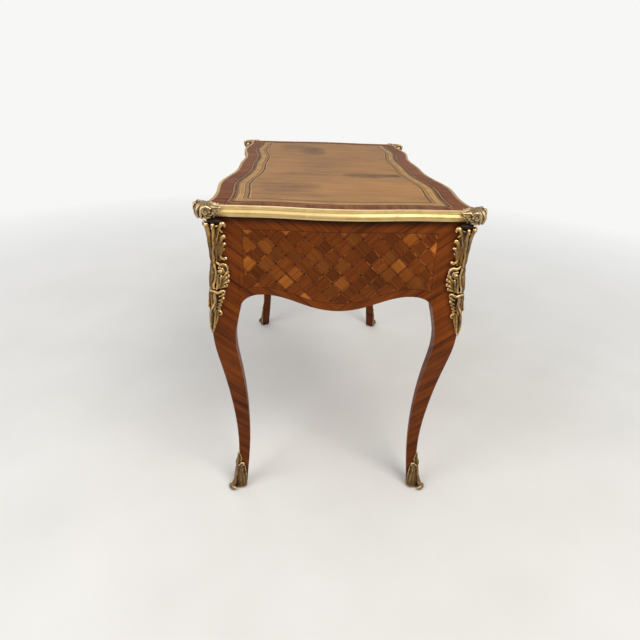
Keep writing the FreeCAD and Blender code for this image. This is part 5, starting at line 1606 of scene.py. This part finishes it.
@dataclass
class Key:
    """Key with a pierced bow, in the lock of the centre drawer."""

    finishes: Finishes
    middle: Place = (0.0, -270.7, 722.0)
    tip: float = -234.6
    bow: float = 9.5
    eye: float = 3.2
    eye_reach: float = 4.2

    def loop(self, y: float, z: float, reach_y: float, reach_z: float, count: int) -> list[Place]:
        """Places round a closed loop about a middle, its two reaches in millimetres."""
        angles = [math.radians(number * 360 / count) for number in range(count + 1)]
        x = self.middle[0]
        return [(x, y + math.cos(angle) * reach_y, z + math.sin(angle) * reach_z) for angle in angles]

    def build(self) -> None:
        """Models bow, collars, stem and bit."""
        casting = Casting("turned_key", lambda place: place * MILLIMETRE, 0.0005)
        x, y, z = self.middle
        casting.bar(self.loop(y, z, -self.bow, self.bow, 16), (1.9, 1.9))
        for turn in (0, 120, 240):
            angle = math.radians(turn + 180)
            spot = (y + math.cos(angle) * self.eye_reach, z + math.sin(angle) * self.eye_reach)
            casting.bar(self.loop(*spot, self.eye, self.eye, 12), (1.1, 1.1))
        casting.bead((x, y + 12.4, z), (2.4, 1.9, 3.1))
        casting.bead((x, y + 15.6, z), (2.4, 1.2, 2.8))
        start = y + 10.5
        casting.shank((x, (start + self.tip) / 2, z), 2.3, self.tip - start)
        casting.block((x, -236.3, z - 4.8), (2.2, 2.9, 5.4))
        piece = casting.melt(1)
        dress(piece, "key", "steel", self.finishes.steel, "centre_drawer_key")


@dataclass
class Drawers:
    """Three drawers with their linings, locks, key plates and handles."""

    finishes: Finishes
    side_border: float = 0.014
    border: float = 0.013

    def front(self, drawer: str) -> None:
        """Parquetry front of one drawer."""
        low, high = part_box(drawer + "_front")
        centre = (low.x + high.x) / 2
        half = (high.x - low.x) / 2 - self.side_border
        finish = Parquetry(drawer + "_parquetry", along_x=True, centre=centre, half_span=half,
                           low=low.z + self.border, high=high.z - self.border).material()
        piece = node_copy(drawer + "_front", "veneered_" + drawer + "_front")
        dress(piece, drawer, "parquetry", finish, drawer + "_front")

    def build(self) -> None:
        """Dresses the three drawers."""
        for drawer in ("left_drawer", "centre_drawer", "right_drawer"):
            self.front(drawer)
            for part in ("side_left", "side_right"):
                paint_node(f"{drawer}_{part}", self.finishes.oak_across)
            for part in ("back", "bottom"):
                paint_node(f"{drawer}_{part}", self.finishes.oak_along)
            paint_node(drawer + "_lock", self.finishes.steel)
            KeyPlate(self.finishes, drawer).build()
        for side in ("left", "right"):
            handle = Handle(self.finishes, side)
            handle.mounts()
            handle.bail()
        paint_node("centre_drawer_bolt", self.finishes.steel)
        Key(self.finishes).build()


@dataclass
class Studio:
    """Camera, floor, background and soft light."""

    place: Place = (-1.47625, 0.08332, 1.02202)
    down: float = 0.47229
    aside: float = -0.04742
    roll: float = 0.03596
    focus: float = 485.0 / 640.0

    def camera(self) -> None:
        """Puts the camera where the photograph was taken from."""
        level = math.cos(self.down)
        ahead = Vector((level * math.cos(self.aside), level * math.sin(self.aside), -math.sin(self.down)))
        right = Vector((math.sin(self.aside), -math.cos(self.aside), 0))
        up = right.cross(ahead)
        turned_right = right * math.cos(self.roll) + up * math.sin(self.roll)
        turned_up = up * math.cos(self.roll) - right * math.sin(self.roll)
        turn = Matrix((turned_right, turned_up, -ahead)).transposed()
        deselect()
        bpy.ops.object.camera_add(location=self.place, rotation=turn.to_euler())
        camera = bpy.context.object
        camera.data.sensor_width = 36.0
        camera.data.lens = self.focus * camera.data.sensor_width
        camera.data.clip_start = 0.01
        bpy.context.scene.camera = camera

    def lamp(self, place: Place, aim: Place, size: float, power: float, colour: Place) -> None:
        """Adds one soft lamp that faces a point."""
        turn = (Vector(aim) - Vector(place)).to_track_quat("-Z", "Y").to_euler()
        deselect()
        bpy.ops.object.light_add(type="AREA", location=place, rotation=turn)
        light = bpy.context.object.data
        light.size = size
        light.energy = power
        light.color = colour

    def background(self) -> None:
        """A pale world that camera and reflections see brighter than it lights."""
        sheet = Sheet("studio", world=True)
        bpy.context.scene.world = sheet.material
        path = sheet.node("ShaderNodeLightPath").socket.node.outputs
        seen = Signal(sheet, path["Is Camera Ray"]).greater(Signal(sheet, path["Is Glossy Ray"]))
        lit = sheet.node("ShaderNodeBackground", values={0: (0.95, 0.97, 1.0), 1: 0.54})
        shown = sheet.node("ShaderNodeBackground", values={0: STUDIO_WHITE, 1: 1.0})
        mix = sheet.node("ShaderNodeMixShader", values={0: seen, 1: lit, 2: shown})
        sheet.node("ShaderNodeOutputWorld", values={0: mix})

    def floor(self) -> None:
        """A pale floor with a faint mottle."""
        deselect()
        bpy.ops.mesh.primitive_plane_add(size=14.0, location=(2.0, 0, 0))
        piece = settle(bpy.context.object)
        piece.name = "studio_floor"
        sheet = Sheet("pale_floor")
        x, y, z = sheet.place()
        mottle = sheet.noise(x, y, z, 3.0, 4)
        colour = sheet.ramp(mottle, [(0.3, shade(226, 224, 219)), (0.7, shade(233, 231, 227))])
        material = sheet.finish(colour, 0.8, specular=0.1)
        far = (x * x + y * y) ** 0.5
        seen = Signal(sheet, sheet.node("ShaderNodeLightPath").socket.node.outputs["Is Camera Ray"])
        fade = sheet.fit(far, 0.9, 3.2) * seen
        glow = sheet.node("ShaderNodeEmission", values={0: STUDIO_WHITE, 1: 1.0})
        output = next(node for node in sheet.tree.nodes if node.type == "OUTPUT_MATERIAL")
        surface = Signal(sheet, output.inputs[0].links[0].from_socket)
        faded = sheet.node("ShaderNodeMixShader", values={0: fade, 1: surface, 2: glow})
        sheet.feed(output.inputs[0], faded)
        piece.data.materials.append(material)

    def build(self) -> None:
        """Sets up the studio."""
        self.camera()
        self.background()
        self.floor()
        near_end = (-0.3, 0, 0.5)
        self.lamp((-1.9, -1.0, 2.8), near_end, 1.5, 50.0, (1.0, 0.96, 0.90))
        self.lamp((-1.4, 1.7, 2.4), near_end, 1.5, 24.0, (0.95, 0.97, 1.0))
        self.lamp((1.6, 0.4, 2.4), (0.2, 0, 0.7), 1.6, 10.0, (1.0, 0.98, 0.95))
        bpy.context.scene.view_settings.view_transform = "Standard"


def main() -> None:
    """Builds every piece in order."""
    logging.basicConfig(level=logging.INFO, format="%(name)s %(message)s")
    finishes = Finishes()
    WritingSurface(finishes).build()
    Carcase(finishes).build()
    Drawers(finishes).build()
    CornerMount(finishes).build()
    Clasp(finishes).build()
    Shoe(finishes).build()
    Studio().build()


if __name__ == "__main__":
    main()
